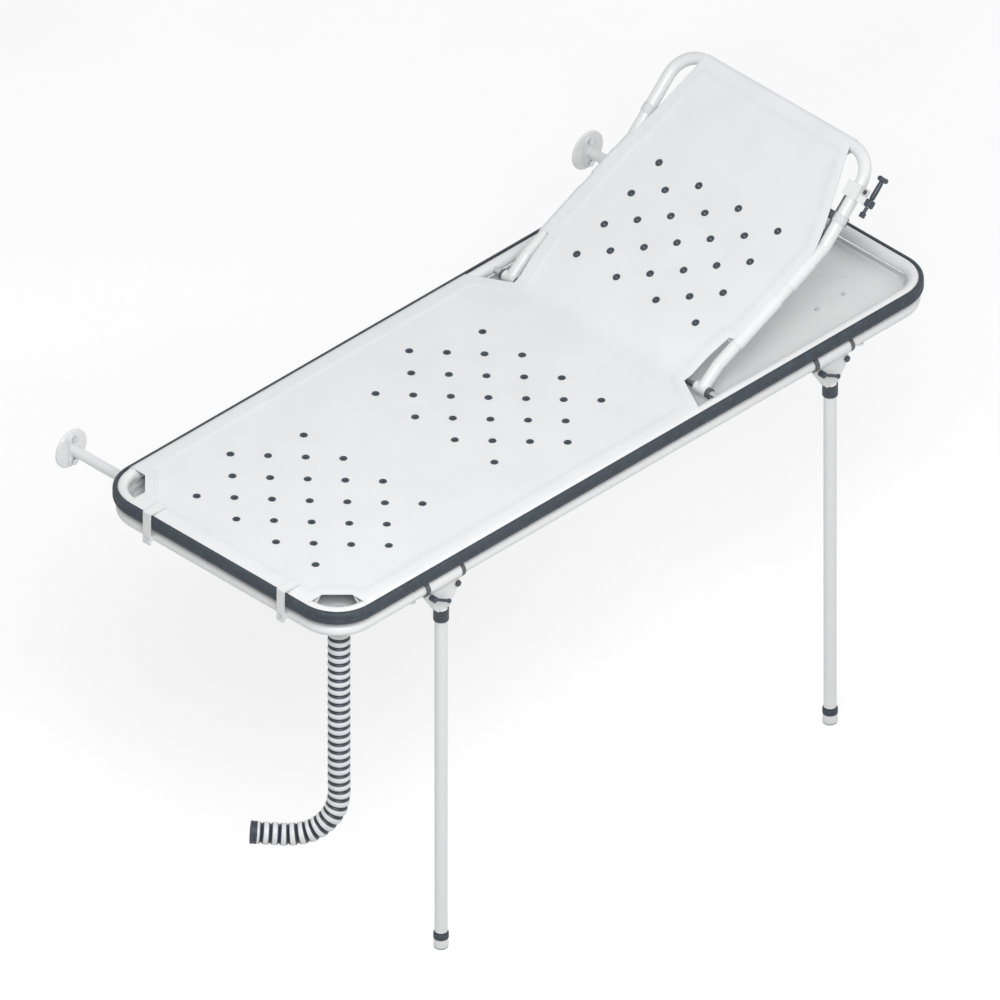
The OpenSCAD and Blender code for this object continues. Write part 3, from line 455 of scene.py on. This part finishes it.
def make_hose_end():
    way, start = route_way(len(ROUTE) - 1), route_at(len(ROUTE) - 1)
    shape = Shape()
    profile = [(0.0190, 0.0), (0.0235, 0.0), (0.0248, 0.0012), (0.0249, 0.0045), (0.0238, 0.0055),
               (0.0238, 0.0068), (0.0249, 0.0078), (0.0249, 0.0125), (0.0240, 0.0139), (0.0205, 0.0140),
               (0.0191, 0.0132)]
    shape.lathe(profile, facing(start, way), 48, closed=True)
    return shape.make("hose_end_ring", DARK_PLASTIC, "hose", "dark_rubber", ["hose_end"])


hose_tip = make_hose_end()


# ---------------------------------------------------------------- edge bumper
def frame_loop(section, arc=14):
    """Rings round the frame: each (outward, up) point of the section at each step of the loop."""
    places = []
    corners = [(CORNER_R, CORNER_R, 180), (AXIS_L - CORNER_R, CORNER_R, 270),
               (AXIS_L - CORNER_R, AXIS_W - CORNER_R, 0), (CORNER_R, AXIS_W - CORNER_R, 90)]
    for cx, cy, start in corners:
        for k in range(arc + 1):
            a = math.radians(start + 90 * k / arc)
            places.append((cx, cy, math.cos(a), math.sin(a)))
    return [[at(cx + (CORNER_R + o) * c, cy + (CORNER_R + o) * s, z) for o, z in section]
            for cx, cy, c, s in places]


def make_bumper():
    """A strip that clips round the outside of the upper tube, with a shallow groove along its face."""
    seat_r, out = 0.0160, TUBE_R + 0.007
    top, low = Z_UP + 0.011, Z_UP - 0.017
    groove = out - 0.0012
    section = [(0.0112, top - 0.0002), (0.0165, top), (0.0190, top - 0.0010), (out - 0.0006, top - 0.0032),
               (out, top - 0.0060), (out, Z_UP + 0.0008), (groove, Z_UP - 0.0006), (groove, Z_UP - 0.0054),
               (out, Z_UP - 0.0068), (out, low + 0.0055), (out - 0.0008, low + 0.0028),
               (0.0188, low + 0.0008), (0.0160, low), (0.0090, low + 0.0002), (0.0090, low + 0.0030)]
    for k in range(10, -1, -1):
        a = math.radians(48 - 96 * k / 10)
        section.append((seat_r * math.cos(a), Z_UP + seat_r * math.sin(a)))
    shape = Shape()
    shape.rings(frame_loop(section), closed=True)
    return shape.make("edge_bumper_strip", RUBBER, "stretcher", "dark_rubber", ["edge_bumper"], smooth=50)


make_bumper()


# ---------------------------------------------------------------- lying sheet, one cloth over both parts
def sheet_profile():
    """The cloth's top line in X and Z along its middle, from the foot end to the top of the backrest."""
    h = SLEEVE_R + SHEET_T
    hinge_bend = -0.012

    def lift(p, angle):
        return Vector((p.x - h * math.sin(angle), p.y + h * math.cos(angle)))

    a1, a2, a3 = (math.atan2((q - p).y, (q - p).x) for p, q in zip(BACK, BACK[1:]))
    corners = [Vector((-HINGE_X, h)), Vector((hinge_bend, h)), lift(BACK[1], (a1 + a2) / 2),
               lift(BACK[2], (a2 + a3) / 2), lift(BACK[3], a3)]
    radii = [0, 0.022, 0.015, 0.055, 0]
    line = [corners[0]]
    for i in range(1, len(corners) - 1):
        p, before, after = corners[i], corners[i - 1], corners[i + 1]
        cut = radii[i]
        a = p + (before - p).normalized() * cut
        b = p + (after - p).normalized() * cut
        for k in range(9):
            t = k / 8
            line.append(a * (1 - t) ** 2 + 2 * p * t * (1 - t) + b * t * t)
    line.append(corners[-1])
    return line


CORNER_END = 0.080               # the foot corners are cut away up to here
TOP_Y = BACK_Y - 0.065           # half the straight top bar of the backrest
BRACE_X = 0.240                  # the brace under the cloth, from the hinge
HEM_W, HEM_RISE = 0.029, 0.0007
SEAT_SAG, BACK_SAG = 0.0045, 0.0035
CUT_R = 0.0056                   # holes in the cloth, under the eyelets
SEAT_GRIDS, SEAT_PITCH = (0.2627, 0.7973), 0.0533
BACK_GRID, BACK_PITCH = 0.217, 0.045
PITCH_Y, BACK_GRID_HALF = 0.0592, 0.19
PROFILE = sheet_profile()
PROFILE_S = [0.0]
for p, q in zip(PROFILE, PROFILE[1:]):
    PROFILE_S.append(PROFILE_S[-1] + (q - p).length)
SHEET_L = PROFILE_S[-1]


def on_profile(s):
    """(X from the foot-end tube, height over the upper tube's axis, slope) at a length along the cloth."""
    s = min(max(s, 0.0), SHEET_L)
    for i in range(len(PROFILE) - 1):
        if s <= PROFILE_S[i + 1] or i == len(PROFILE) - 2:
            f = (s - PROFILE_S[i]) / (PROFILE_S[i + 1] - PROFILE_S[i])
            p = PROFILE[i].lerp(PROFILE[i + 1], f)
            d = PROFILE[i + 1] - PROFILE[i]
            return HINGE_X + p.x, p.y, math.atan2(d.y, d.x)


def s_of_x(x):
    """The length along the cloth where it reaches an X."""
    lo, hi = 0.0, SHEET_L
    for _ in range(40):
        mid = (lo + hi) / 2
        if on_profile(mid)[0] < x:
            lo = mid
        else:
            hi = mid
    return lo


BACK_SLOPE = math.atan2(BACK[2].y - BACK[1].y, BACK[2].x - BACK[1].x)
BRACE_S = s_of_x(HINGE_X + BRACE_X - SLEEVE_R * math.sin(BACK_SLOPE))


def clamp(t):
    return max(0.0, min(1.0, t))


def eased(t):
    t = clamp(t)
    return t * t * (3 - 2 * t)


def sag(s, y):
    """How far the cloth hangs below its straight line."""
    across = max(0.0, 1 - ((y - AXIS_W / 2) / (AXIS_W / 2 - 0.03)) ** 2)
    if s < HINGE_X:
        return SEAT_SAG * across * clamp((s - 0.02) / 0.25) * clamp((HINGE_X - 0.02 - s) / 0.2)
    along = clamp((s - HINGE_X - 0.06) / 0.12) * clamp((SHEET_L - s) / 0.12)
    return BACK_SAG * across * along * eased((abs(s - BRACE_S) - 0.025) / 0.05)


def hem(s, y):
    """How far the doubled edge of the cloth stands up, by the distance from its outline."""
    d = min(edge_distance((s, y), a, b) for a, b in HEM_EDGES)
    return HEM_RISE * eased(d / 0.010) * (1 - eased((d - HEM_W) / 0.003))


def on_sheet(s, y, under=0.0, proud=0.0):
    x, z, slope = on_profile(s)
    drop = under + sag(s, y) - proud
    return at(x + drop * math.sin(slope), y, Z_UP + z - drop * math.cos(slope))


def sheet_outline():
    """Points (length along, across) round the cloth."""
    end, cut = CORNER_END, 0.035
    waist_y, slit_y, rail_y, top_y = 0.091, 0.075, AXIS_W / 2 - BACK_Y, AXIS_W / 2 - TOP_Y
    wide, waist, slit, rail, kink = (s_of_x(HINGE_X + x)
                                     for x in (-0.069, -0.021, 0.096, 0.100, BACK[2].x - 0.030))
    half = [(0.0, end), (cut, end), (end, cut), (end, 0.0), (wide, 0.0), (waist, waist_y), (slit, slit_y),
            (rail, rail_y), (kink, rail_y), (SHEET_L, top_y)]
    return half + [(s, AXIS_W - y) for s, y in reversed(half)]


def edge_distance(p, a, b):
    dx, dy = b[0] - a[0], b[1] - a[1]
    t = clamp(((p[0] - a[0]) * dx + (p[1] - a[1]) * dy) / (dx * dx + dy * dy))
    return math.hypot(p[0] - a[0] - t * dx, p[1] - a[1] - t * dy)


def inset_line(polygon, d):
    """The polygon moved inward by a distance; its points run counter-clockwise in (length, across)."""
    out = []
    n = len(polygon)
    for i in range(n):
        p, a, b = Vector(polygon[i]), Vector(polygon[i - 1]), Vector(polygon[(i + 1) % n])
        u, v = (p - a).normalized(), (b - p).normalized()
        left_u, left_v = Vector((-u.y, u.x)), Vector((-v.y, v.x))
        out.append(tuple(p + (left_u + left_v) * (d / (1 + left_u.dot(left_v)))))
    return out


OUTLINE = sheet_outline()
HEM_EDGES = list(zip(OUTLINE, OUTLINE[1:] + OUTLINE[:1]))


def hole_places():
    """Diamond grids of (length along, across): two in the seat, one in the backrest."""
    reach = [4, 3, 2, 3]
    seat, back = [], []
    for middle, store in ((SEAT_GRIDS[0], seat), (SEAT_GRIDS[1], seat), (None, back)):
        for p in range(-3, 4):
            for q in range(-reach[abs(p)], reach[abs(p)] + 1):
                if (p + q) % 2:
                    continue
                y = AXIS_W / 2 + q * PITCH_Y
                if middle is None:
                    x = BACK_GRID + p * BACK_PITCH * math.cos(BACK_SLOPE) - SLEEVE_R * math.sin(BACK_SLOPE)
                    store.append((s_of_x(HINGE_X + x), y))
                else:
                    store.append((middle + p * SEAT_PITCH, y))
    return seat, [(s, y) for s, y in back if abs(y - AXIS_W / 2) <= BACK_GRID_HALF]


SEAT_HOLES, BACK_HOLES = hole_places()


def dense(points, step):
    """The closed line through the points, in steps of about one length."""
    out = []
    for (a, b), (c, d) in zip(points, points[1:] + points[:1]):
        n = max(1, int(math.hypot(c - a, d - b) / step))
        out += [(a + (c - a) * k / n, b + (d - b) * k / n) for k in range(n)]
    return out


def circle(s, y, r, count):
    return [Vector((s + r * math.cos(a), y + r * math.sin(a))) for a in angles(count)]


def near(s, y, places, reach):
    return any((s - a) ** 2 + (y - b) ** 2 < reach ** 2 for a, b in places)


def inside(point, polygon):
    x, y = point
    hit = False
    for (a, b), (c, d) in zip(polygon, polygon[1:] + polygon[:1]):
        if (b > y) != (d > y) and x < (c - a) * (y - b) / (d - b) + a:
            hit = not hit
    return hit


def make_sheet():
    """The cloth is meshed flat, in (length along, across), and then laid on the frame."""
    hem_steps = (0.010, HEM_W, HEM_W + 0.0015, HEM_W + 0.003)
    columns, step, ring_n = 35, 0.02, 16
    outline = dense(OUTLINE, step)
    coords = [Vector(p) for p in outline]
    edges = [(i, (i + 1) % len(outline)) for i in range(len(outline))]
    holes = SEAT_HOLES + BACK_HOLES
    for s, y in holes:
        first = len(coords)
        coords += circle(s, y, CUT_R, ring_n)
        edges += [(first + k, first + (k + 1) % ring_n) for k in range(ring_n)]
        coords += circle(s, y, 2.5 * CUT_R, 12)
    for d in hem_steps:
        coords += [Vector(p) for p in dense(inset_line(OUTLINE, d), 0.012)]
    stations = sorted(set([step * k for k in range(1, int(SHEET_L / step) + 1)] + PROFILE_S[1:-1]))
    for s in stations:
        for k in range(1, columns):
            y = AXIS_W * k / columns
            if inside((s, y), OUTLINE) and not near(s, y, holes, 0.019) and not near(s, y, outline, 0.006):
                coords.append(Vector((s, y)))
    points, _, tris, _, _, _ = delaunay_2d_cdt(coords, edges, [], 0, 1e-6)
    faces = []
    for f in tris:
        c = (points[f[0]] + points[f[1]] + points[f[2]]) / 3
        if inside((c.x, c.y), OUTLINE) and not near(c.x, c.y, holes, CUT_R - 0.0002):
            faces.append(tuple(f))
    top = [on_sheet(p.x, p.y, proud=hem(p.x, p.y)) for p in points]
    low = [on_sheet(p.x, p.y, SHEET_T) for p in points]
    n = len(points)
    count = {}
    for f in faces:
        for a, b in zip(f, f[1:] + f[:1]):
            count[(a, b)] = count.get((a, b), 0) + 1
    walls = [(a, b) for a, b in count if (b, a) not in count]
    shape = Shape()
    under = [tuple(n + i for i in reversed(f)) for f in faces]
    uv = [(p.x, p.y) for p in points]
    shape.add(top + low, faces + under + [(b, a, n + a, n + b) for a, b in walls], uv + uv)
    add_sleeves(shape)
    obj = shape.make("lying_sheet", SHEET, None, "white_sheet", ["seat_sheet", "backrest_sheet"], smooth=50,
                     keep_uvs=True)
    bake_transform(obj)
    return obj


def sleeve(shape, first, last, steps, outward, up):
    """A sleeve round a tube, from first to last on its axis. It wraps from the cloth's top round the tube's
    outside and comes back under the cloth, where a seam closes it."""
    r_out, r_in, close_at = SLEEVE_R + SHEET_T, SLEEVE_R + 0.0001, 0.030
    outer, inner = [], []
    for k in range(15):
        a = math.radians(90 - 215 * k / 14)
        outer.append((r_out * math.cos(a), r_out * math.sin(a)))
        inner.append((r_in * math.cos(a), r_in * math.sin(a)))
    outer.append((-close_at, SLEEVE_R - 0.0012))
    inner.append((-close_at, SLEEVE_R - 0.0001))
    section = outer + list(reversed(inner))
    rings, uvs = [], []
    for k in range(steps + 1):
        centre = first + (last - first) * (k / steps)
        run = (centre - first).length
        rings.append([centre + outward * o + up * z for o, z in section])
        uvs += [(run, o * 1.5 + z) for o, z in section]
    shape.rings(rings, uvs=uvs)


def add_sleeves(shape):
    z_axis, seat_end = Vector((0, 0, 1)), 1.080
    for y, side in ((0.0, -1), (AXIS_W, 1)):
        sleeve(shape, at(CORNER_END, y, Z_UP), at(seat_end, y, Z_UP), 24, Vector((0, side, 0)), z_axis)
    sleeve(shape, at(0, CORNER_END, Z_UP), at(0, AXIS_W - CORNER_END, Z_UP), 12, Vector((-1, 0, 0)), z_axis)
    slope = BACK[2] - BACK[1]
    way = Vector((slope.x, 0, slope.y)).normalized()
    up = Vector((-way.z, 0, way.x))
    low_end = at(HINGE_X + BACK[1].x, AXIS_W / 2, Z_UP + BACK[1].y)
    # two sleeves on each side tube, with the brace's end between them
    for side in (-1, 1):
        tube = low_end + Vector((0, side * BACK_Y, 0))
        for start, stop in ((0.058, 0.1916), (0.2316, slope.length - 0.046)):
            sleeve(shape, tube + way * start, tube + way * stop, 6, Vector((0, side, 0)), up)
    head = BACK[3] - BACK[2]
    way = Vector((head.x, 0, head.y)).normalized()
    up = Vector((-way.z, 0, way.x))
    bar, half = at(HINGE_X + BACK[3].x, AXIS_W / 2, Z_UP + BACK[3].y), Vector((0, TOP_Y, 0))
    sleeve(shape, bar - half, bar + half, 10, way, up)


sheet = make_sheet()


def make_stitches():
    """Two rows of thread round the cloth's edge, where its sleeves and hems are sewn."""
    pitch, thick, thin = 0.0085, 0.0006, 0.0003
    shape = Shape()
    for d in (HEM_W - 0.0035, HEM_W - 0.0095):
        line = inset_line(OUTLINE, d)
        for a, b in zip(line, line[1:] + line[:1]):
            run = math.hypot(b[0] - a[0], b[1] - a[1])
            count = max(1, round(run / pitch))
            for k in range(count):
                mid, half = (k + 0.5) / count, 0.31 / count
                ends = []
                for t in (mid - half, mid, mid + half):
                    s, y = a[0] + (b[0] - a[0]) * t, a[1] + (b[1] - a[1]) * t
                    ends.append(on_sheet(s, y, proud=0.0008 if t == mid else 0.0005))
                way = (ends[2] - ends[0]).normalized()
                side = way.cross(Vector((0, 0, 1))).normalized()
                rise = side.cross(way)
                rings = []
                for point, r in zip(ends, (thin, thick, thin)):
                    rings.append([point + r * (math.cos(q) * side + math.sin(q) * rise) for q in angles(6)])
                shape.rings(rings)
    obj = shape.make("sheet_stitches", THREAD, None, "white_sheet", smooth=80)
    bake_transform(obj)
    return obj


stitches = make_stitches()


# ---------------------------------------------------------------- eyelets
def make_eyelets(name, holes, body, node):
    shape = Shape()
    profile = [(0.0019, -0.0006), (0.0030, 0.0002), (0.0050, 0.0005), (0.0058, 0.0012), (0.0069, 0.0017),
               (0.0081, 0.0012), (0.0087, 0.0003), (0.0086, -0.0001), (0.0060, -0.0001), (0.0056, -0.0017),
               (0.0084, -0.0018), (0.0084, -0.0024), (0.0064, -0.0029), (0.0036, -0.0027), (0.0019, -0.0022)]
    for s, y in holes:
        slope = on_profile(s)[2]
        normal = Vector((-math.sin(slope), 0, math.cos(slope)))
        shape.lathe(profile, facing(on_sheet(s, y), normal, (0, 1, 0)), 20, closed=True)
    shape.make(name, DARK_PLASTIC, body, "dark_plastic", [node], smooth=60)


make_eyelets("seat_eyelet_rings", SEAT_HOLES, "stretcher", "seat_eyelets")
make_eyelets("backrest_eyelet_rings", BACK_HOLES, "backrest", "backrest_eyelets")


# ---------------------------------------------------------------- straps and release handle, on the hoop
KNEE = at(HINGE_X + BACK[2].x, AXIS_W / 2, Z_UP + BACK[2].y)
HEAD_WAY = Vector((BACK[3].x - BACK[2].x, 0, BACK[3].y - BACK[2].y)).normalized()
HEAD_UP = Vector((-HEAD_WAY.z, 0, HEAD_WAY.x))


def on_head(u, across, up):
    return KNEE + HEAD_WAY * u + Vector((0, across, 0)) + HEAD_UP * up


def make_straps():
    """A white loop round each side tube, and a dark webbing tab from it to the cloth's underside."""
    low, high, tab_r, tab_half = 0.058, 0.078, 0.0167, 0.0007
    band = [(low + 0.0005, 0.01435), (high - 0.0005, 0.01435), (high, 0.0148), (high, 0.0154),
            (high - 0.0005, 0.0158), (low + 0.0005, 0.0158), (low, 0.0154), (low, 0.0148)]
    tab_edge = [(low, 0.6), (low + 0.0006, 1.0), (high - 0.0006, 1.0), (high, 0.6), (high, -0.6),
                (high - 0.0006, -1.0), (low + 0.0006, -1.0), (low, -0.6)]
    line = [(0.070, 0.0115), (0.060, 0.0116), (0.053, 0.0112)]
    line += [(0.0480 - 0.0391 * k / 6, 0.0085 - 0.0226 * k / 6) for k in range(7)]
    line += [(tab_r * math.cos(math.radians(a)), tab_r * math.sin(math.radians(a)))
             for a in range(-68, -139, -14)]
    loops, tabs = Shape(), Shape()
    for side in (-1, 1):
        loops.rings([[on_head(u, side * (BACK_Y + r * math.cos(a)), r * math.sin(a)) for u, r in band]
                     for a in angles(48)], closed=True)
        rings = []
        for i, (q, z) in enumerate(line):
            a, b = Vector(line[max(0, i - 1)]), Vector(line[min(len(line) - 1, i + 1)])
            way = (b - a).normalized()
            out = Vector((-way.y, way.x)) * tab_half
            rings.append([on_head(u, side * (BACK_Y - q - out.x * t), z + out.y * t) for u, t in tab_edge])
        tabs.rings(rings)
    loops.make("sheet_strap_loops", THREAD, "backrest", "white_sheet", ["sheet_straps"], smooth=50)
    tabs.make("sheet_strap_tabs", DARK_PLASTIC, "backrest", "dark_plastic", ["sheet_straps"], smooth=50)


def make_release_handle():
    """The pull rod with its knob, sleeve and T head, and the dark cap on the arm that guides it."""
    u, out, head_u = 0.135, 0.044, 0.0505
    rod = Shape()
    rod.lathe([(0.0003, -0.0420), (0.0052, -0.0420), (0.0066, -0.0412), (0.0070, -0.0400), (0.0070, -0.0378),
               (0.0063, -0.0370), (0.0063, -0.0362), (0.0070, -0.0354), (0.0070, -0.0322), (0.0064, -0.0306),
               (0.0040, -0.0300), (0.0040, 0.0022), (0.0054, 0.0026), (0.0060, 0.0040), (0.0060, 0.0240),
               (0.0057, 0.0360), (0.0050, 0.0450), (0.0046, 0.0500), (0.0003, 0.0505)],
              facing(on_head(u, -BACK_Y - out, 0), HEAD_WAY), 28)
    half = [(0.0055, 0.0060), (0.0059, 0.0120), (0.0053, 0.0143), (0.0040, 0.0152), (0.0003, 0.0152)]
    rod.lathe([(r, -z) for r, z in reversed(half)] + [(0.0053, 0.0)] + half,
              facing(on_head(u + head_u, -BACK_Y - out, 0), HEAD_UP), 28)
    rod.make("release_pull_rod", DARK_METAL, "release_handle", "dark_metal", ["release_rod"], smooth=50)
    cap = Shape()
    turn = Matrix((HEAD_WAY, Vector((0, 1, 0)), -HEAD_UP)).transposed().to_4x4()
    cap.block(Matrix.Translation(on_head(u - 0.0082, -BACK_Y - 0.0452, 0)) @ turn, (0.0186, 0.0172, 0.0200),
              0.0045, 4)
    cap.make("release_guide_cap", DARK_PLASTIC, "backrest", "dark_plastic", smooth=50)


def make_foot(end, x):
    """A pale moulded foot with a dark ring to turn it by and a dark sole, on a threaded stem."""
    top, stem_top, thread, grips = 0.038, 0.098, 0.0016, 20
    place = Matrix.Translation(at(x, 0, Z_FLOOR))
    pad, ring = Shape(), Shape()
    pad.lathe([(0.0100, 0.0024), (0.0158, 0.0024), (0.0164, 0.0040), (0.0160, 0.0120), (0.0155, 0.0205),
               (0.0150, 0.0235), (0.0100, 0.0235)], place, 40)
    stem = [(0.0058, 0.0230), (0.0058, top)]
    for k in range(int((stem_top - top) / thread)):
        stem += [(0.0059, top + thread * k + 0.0003), (0.0052, top + thread * k + 0.0011)]
    stem += [(0.0058, stem_top - 0.0006), (0.0048, stem_top)]
    pad.make("foot_pad_" + end, WHITE_TRAY, "pad_" + end, "white_tray", ["rubber_foot_" + end])
    for low, high, r in ((0.0, 0.0025, 0.0156), (0.0234, top, 0.0165)):
        ring.lathe([(0.0050, low), (r - 0.0010, low), (r, low + 0.0008), (r, high - 0.0012),
                    (r - 0.0012, high), (0.0050, high)], place, 40)
    grip = Matrix.Translation(Vector((0.0160, 0, 0.0300)))
    for a in angles(grips):
        ring.block(place @ Matrix.Rotation(a, 4, "Z") @ grip, (0.0014, 0.0026, 0.0100), 0.0005, 2)
    ring.lathe(stem, place, 24)
    ring.make("foot_ring_" + end, RUBBER, "pad_" + end, "dark_rubber", ["rubber_foot_" + end], smooth=50)


make_straps()
make_release_handle()
make_foot("foot", 0.311)
make_foot("head", 1.474)

# ---------------------------------------------------------------- CAD nodes that stay in view
KEEP = {
    WHITE_COAT: ["wall_flange_foot", "wall_flange_head", "bracket_arm_foot", "bracket_arm_head",
                 "lower_frame_foot", "lower_frame_head", "upper_frame", "hook_wall", "hook_front",
                 "backrest_lugs", "backrest_rails", "backrest_hoop", "backrest_brace", "leg_bracket_foot",
                 "leg_bracket_head", "leg_tube_foot", "leg_tube_head", "release_block"],
    STEEL: ["wall_screws", "splice_spigots", "frame_bolts", "tray_screws", "hook_screws", "hinge_axle",
            "guide_rail", "prop_strut", "shoe_pin", "brake_plunger"],
    BUSH: ["pivot_bushes", "pivot_collars", "axle_collars", "backrest_bushes", "frame_spacers", "slide_shoe",
           "leg_stops", "release_cable"],
    WHITE_TRAY: ["drip_tray", "tray_rim", "drain_outlet"],
    DARK_PLASTIC: ["leg_collar_foot", "leg_collar_head", "clamp_lever_foot", "clamp_lever_head"],
    DARK_METAL: ["pinch_bolt_foot", "pinch_bolt_head", "block_screw"],
}


def dress(name, mat):
    obj = nodes[name]
    obj.data.materials.clear()
    obj.data.materials.append(mat)


for mat, names in KEEP.items():
    for name in names:
        dress(name, mat)


# ---------------------------------------------------------------- floor, light and background
def seen_directly(tree):
    """1 for what sees the background straight, mirrored or through glass."""
    path = add(tree, "ShaderNodeLightPath")
    seen = path.outputs["Is Camera Ray"]
    for name in ("Is Glossy Ray", "Is Transmission Ray"):
        both = add(tree, "ShaderNodeMath", operation="MAXIMUM")
        tree.links.new(seen, both.inputs[0])
        tree.links.new(path.outputs[name], both.inputs[1])
        seen = both.outputs[0]
    return seen


def make_stage():
    half, own_light, world_light, world_seen = 25.0, 0.54, 0.55, 0.86
    mesh = bpy.data.meshes.new("floor")
    corners = ((-1, -1), (1, -1), (1, 1), (-1, 1))
    mesh.from_pydata([(half * x, half * y, Z_FLOOR) for x, y in corners], [], [(0, 1, 2, 3)])
    floor = bpy.data.objects.new("floor", mesh)
    bpy.context.scene.collection.objects.link(floor)
    mat, tree, shader = new_material("pale_floor")
    coord = add(tree, "ShaderNodeTexCoord").outputs["Object"]
    drift = noise(tree, coord, 2.0, 3.0)
    colour = ramp(tree, drift.outputs["Fac"], [(0.3, (0.56, 0.56, 0.56)), (0.7, (0.58, 0.58, 0.58))])
    tree.links.new(colour.outputs["Color"], shader.inputs["Base Color"])
    shader.inputs["Roughness"].default_value = 0.9
    shader.inputs["Specular IOR Level"].default_value = 0.1
    # the pale background: a little light of the floor's own, for what sees it straight or mirrored only
    lift = add(tree, "ShaderNodeMath", operation="MULTIPLY")
    lift.inputs[1].default_value = own_light
    tree.links.new(seen_directly(tree), lift.inputs[0])
    shader.inputs["Emission Color"].default_value = (1, 1, 1, 1)
    tree.links.new(lift.outputs[0], shader.inputs["Emission Strength"])
    mesh.materials.append(mat)

    world = bpy.data.worlds.new("studio")
    bpy.context.scene.world = world
    world.use_nodes = True
    ground = world.node_tree.nodes["Background"]
    ground.inputs["Color"].default_value = (1, 1, 1, 1)
    strength = add(world.node_tree, "ShaderNodeMapRange", in_To_Min=world_light, in_To_Max=world_seen)
    world.node_tree.links.new(seen_directly(world.node_tree), strength.inputs["Value"])
    world.node_tree.links.new(strength.outputs["Result"], ground.inputs["Strength"])

    lamps = (("key", (-2.4, -3.2, 3.4), 2.6, 150.0), ("fill", (2.8, -2.6, 2.0), 3.0, 26.0))
    middle = Vector((0.0, -0.58, -0.1))
    for name, place, size, power in lamps:
        data = bpy.data.lights.new(name, "AREA")
        data.shape = "SQUARE"
        data.size = size
        data.energy = power
        light = bpy.data.objects.new(name, data)
        bpy.context.scene.collection.objects.link(light)
        light.location = place
        aim = middle - Vector(place)
        light.rotation_euler = aim.to_track_quat("-Z", "Y").to_euler()
    bpy.context.scene.view_settings.view_transform = "Standard"


make_stage()
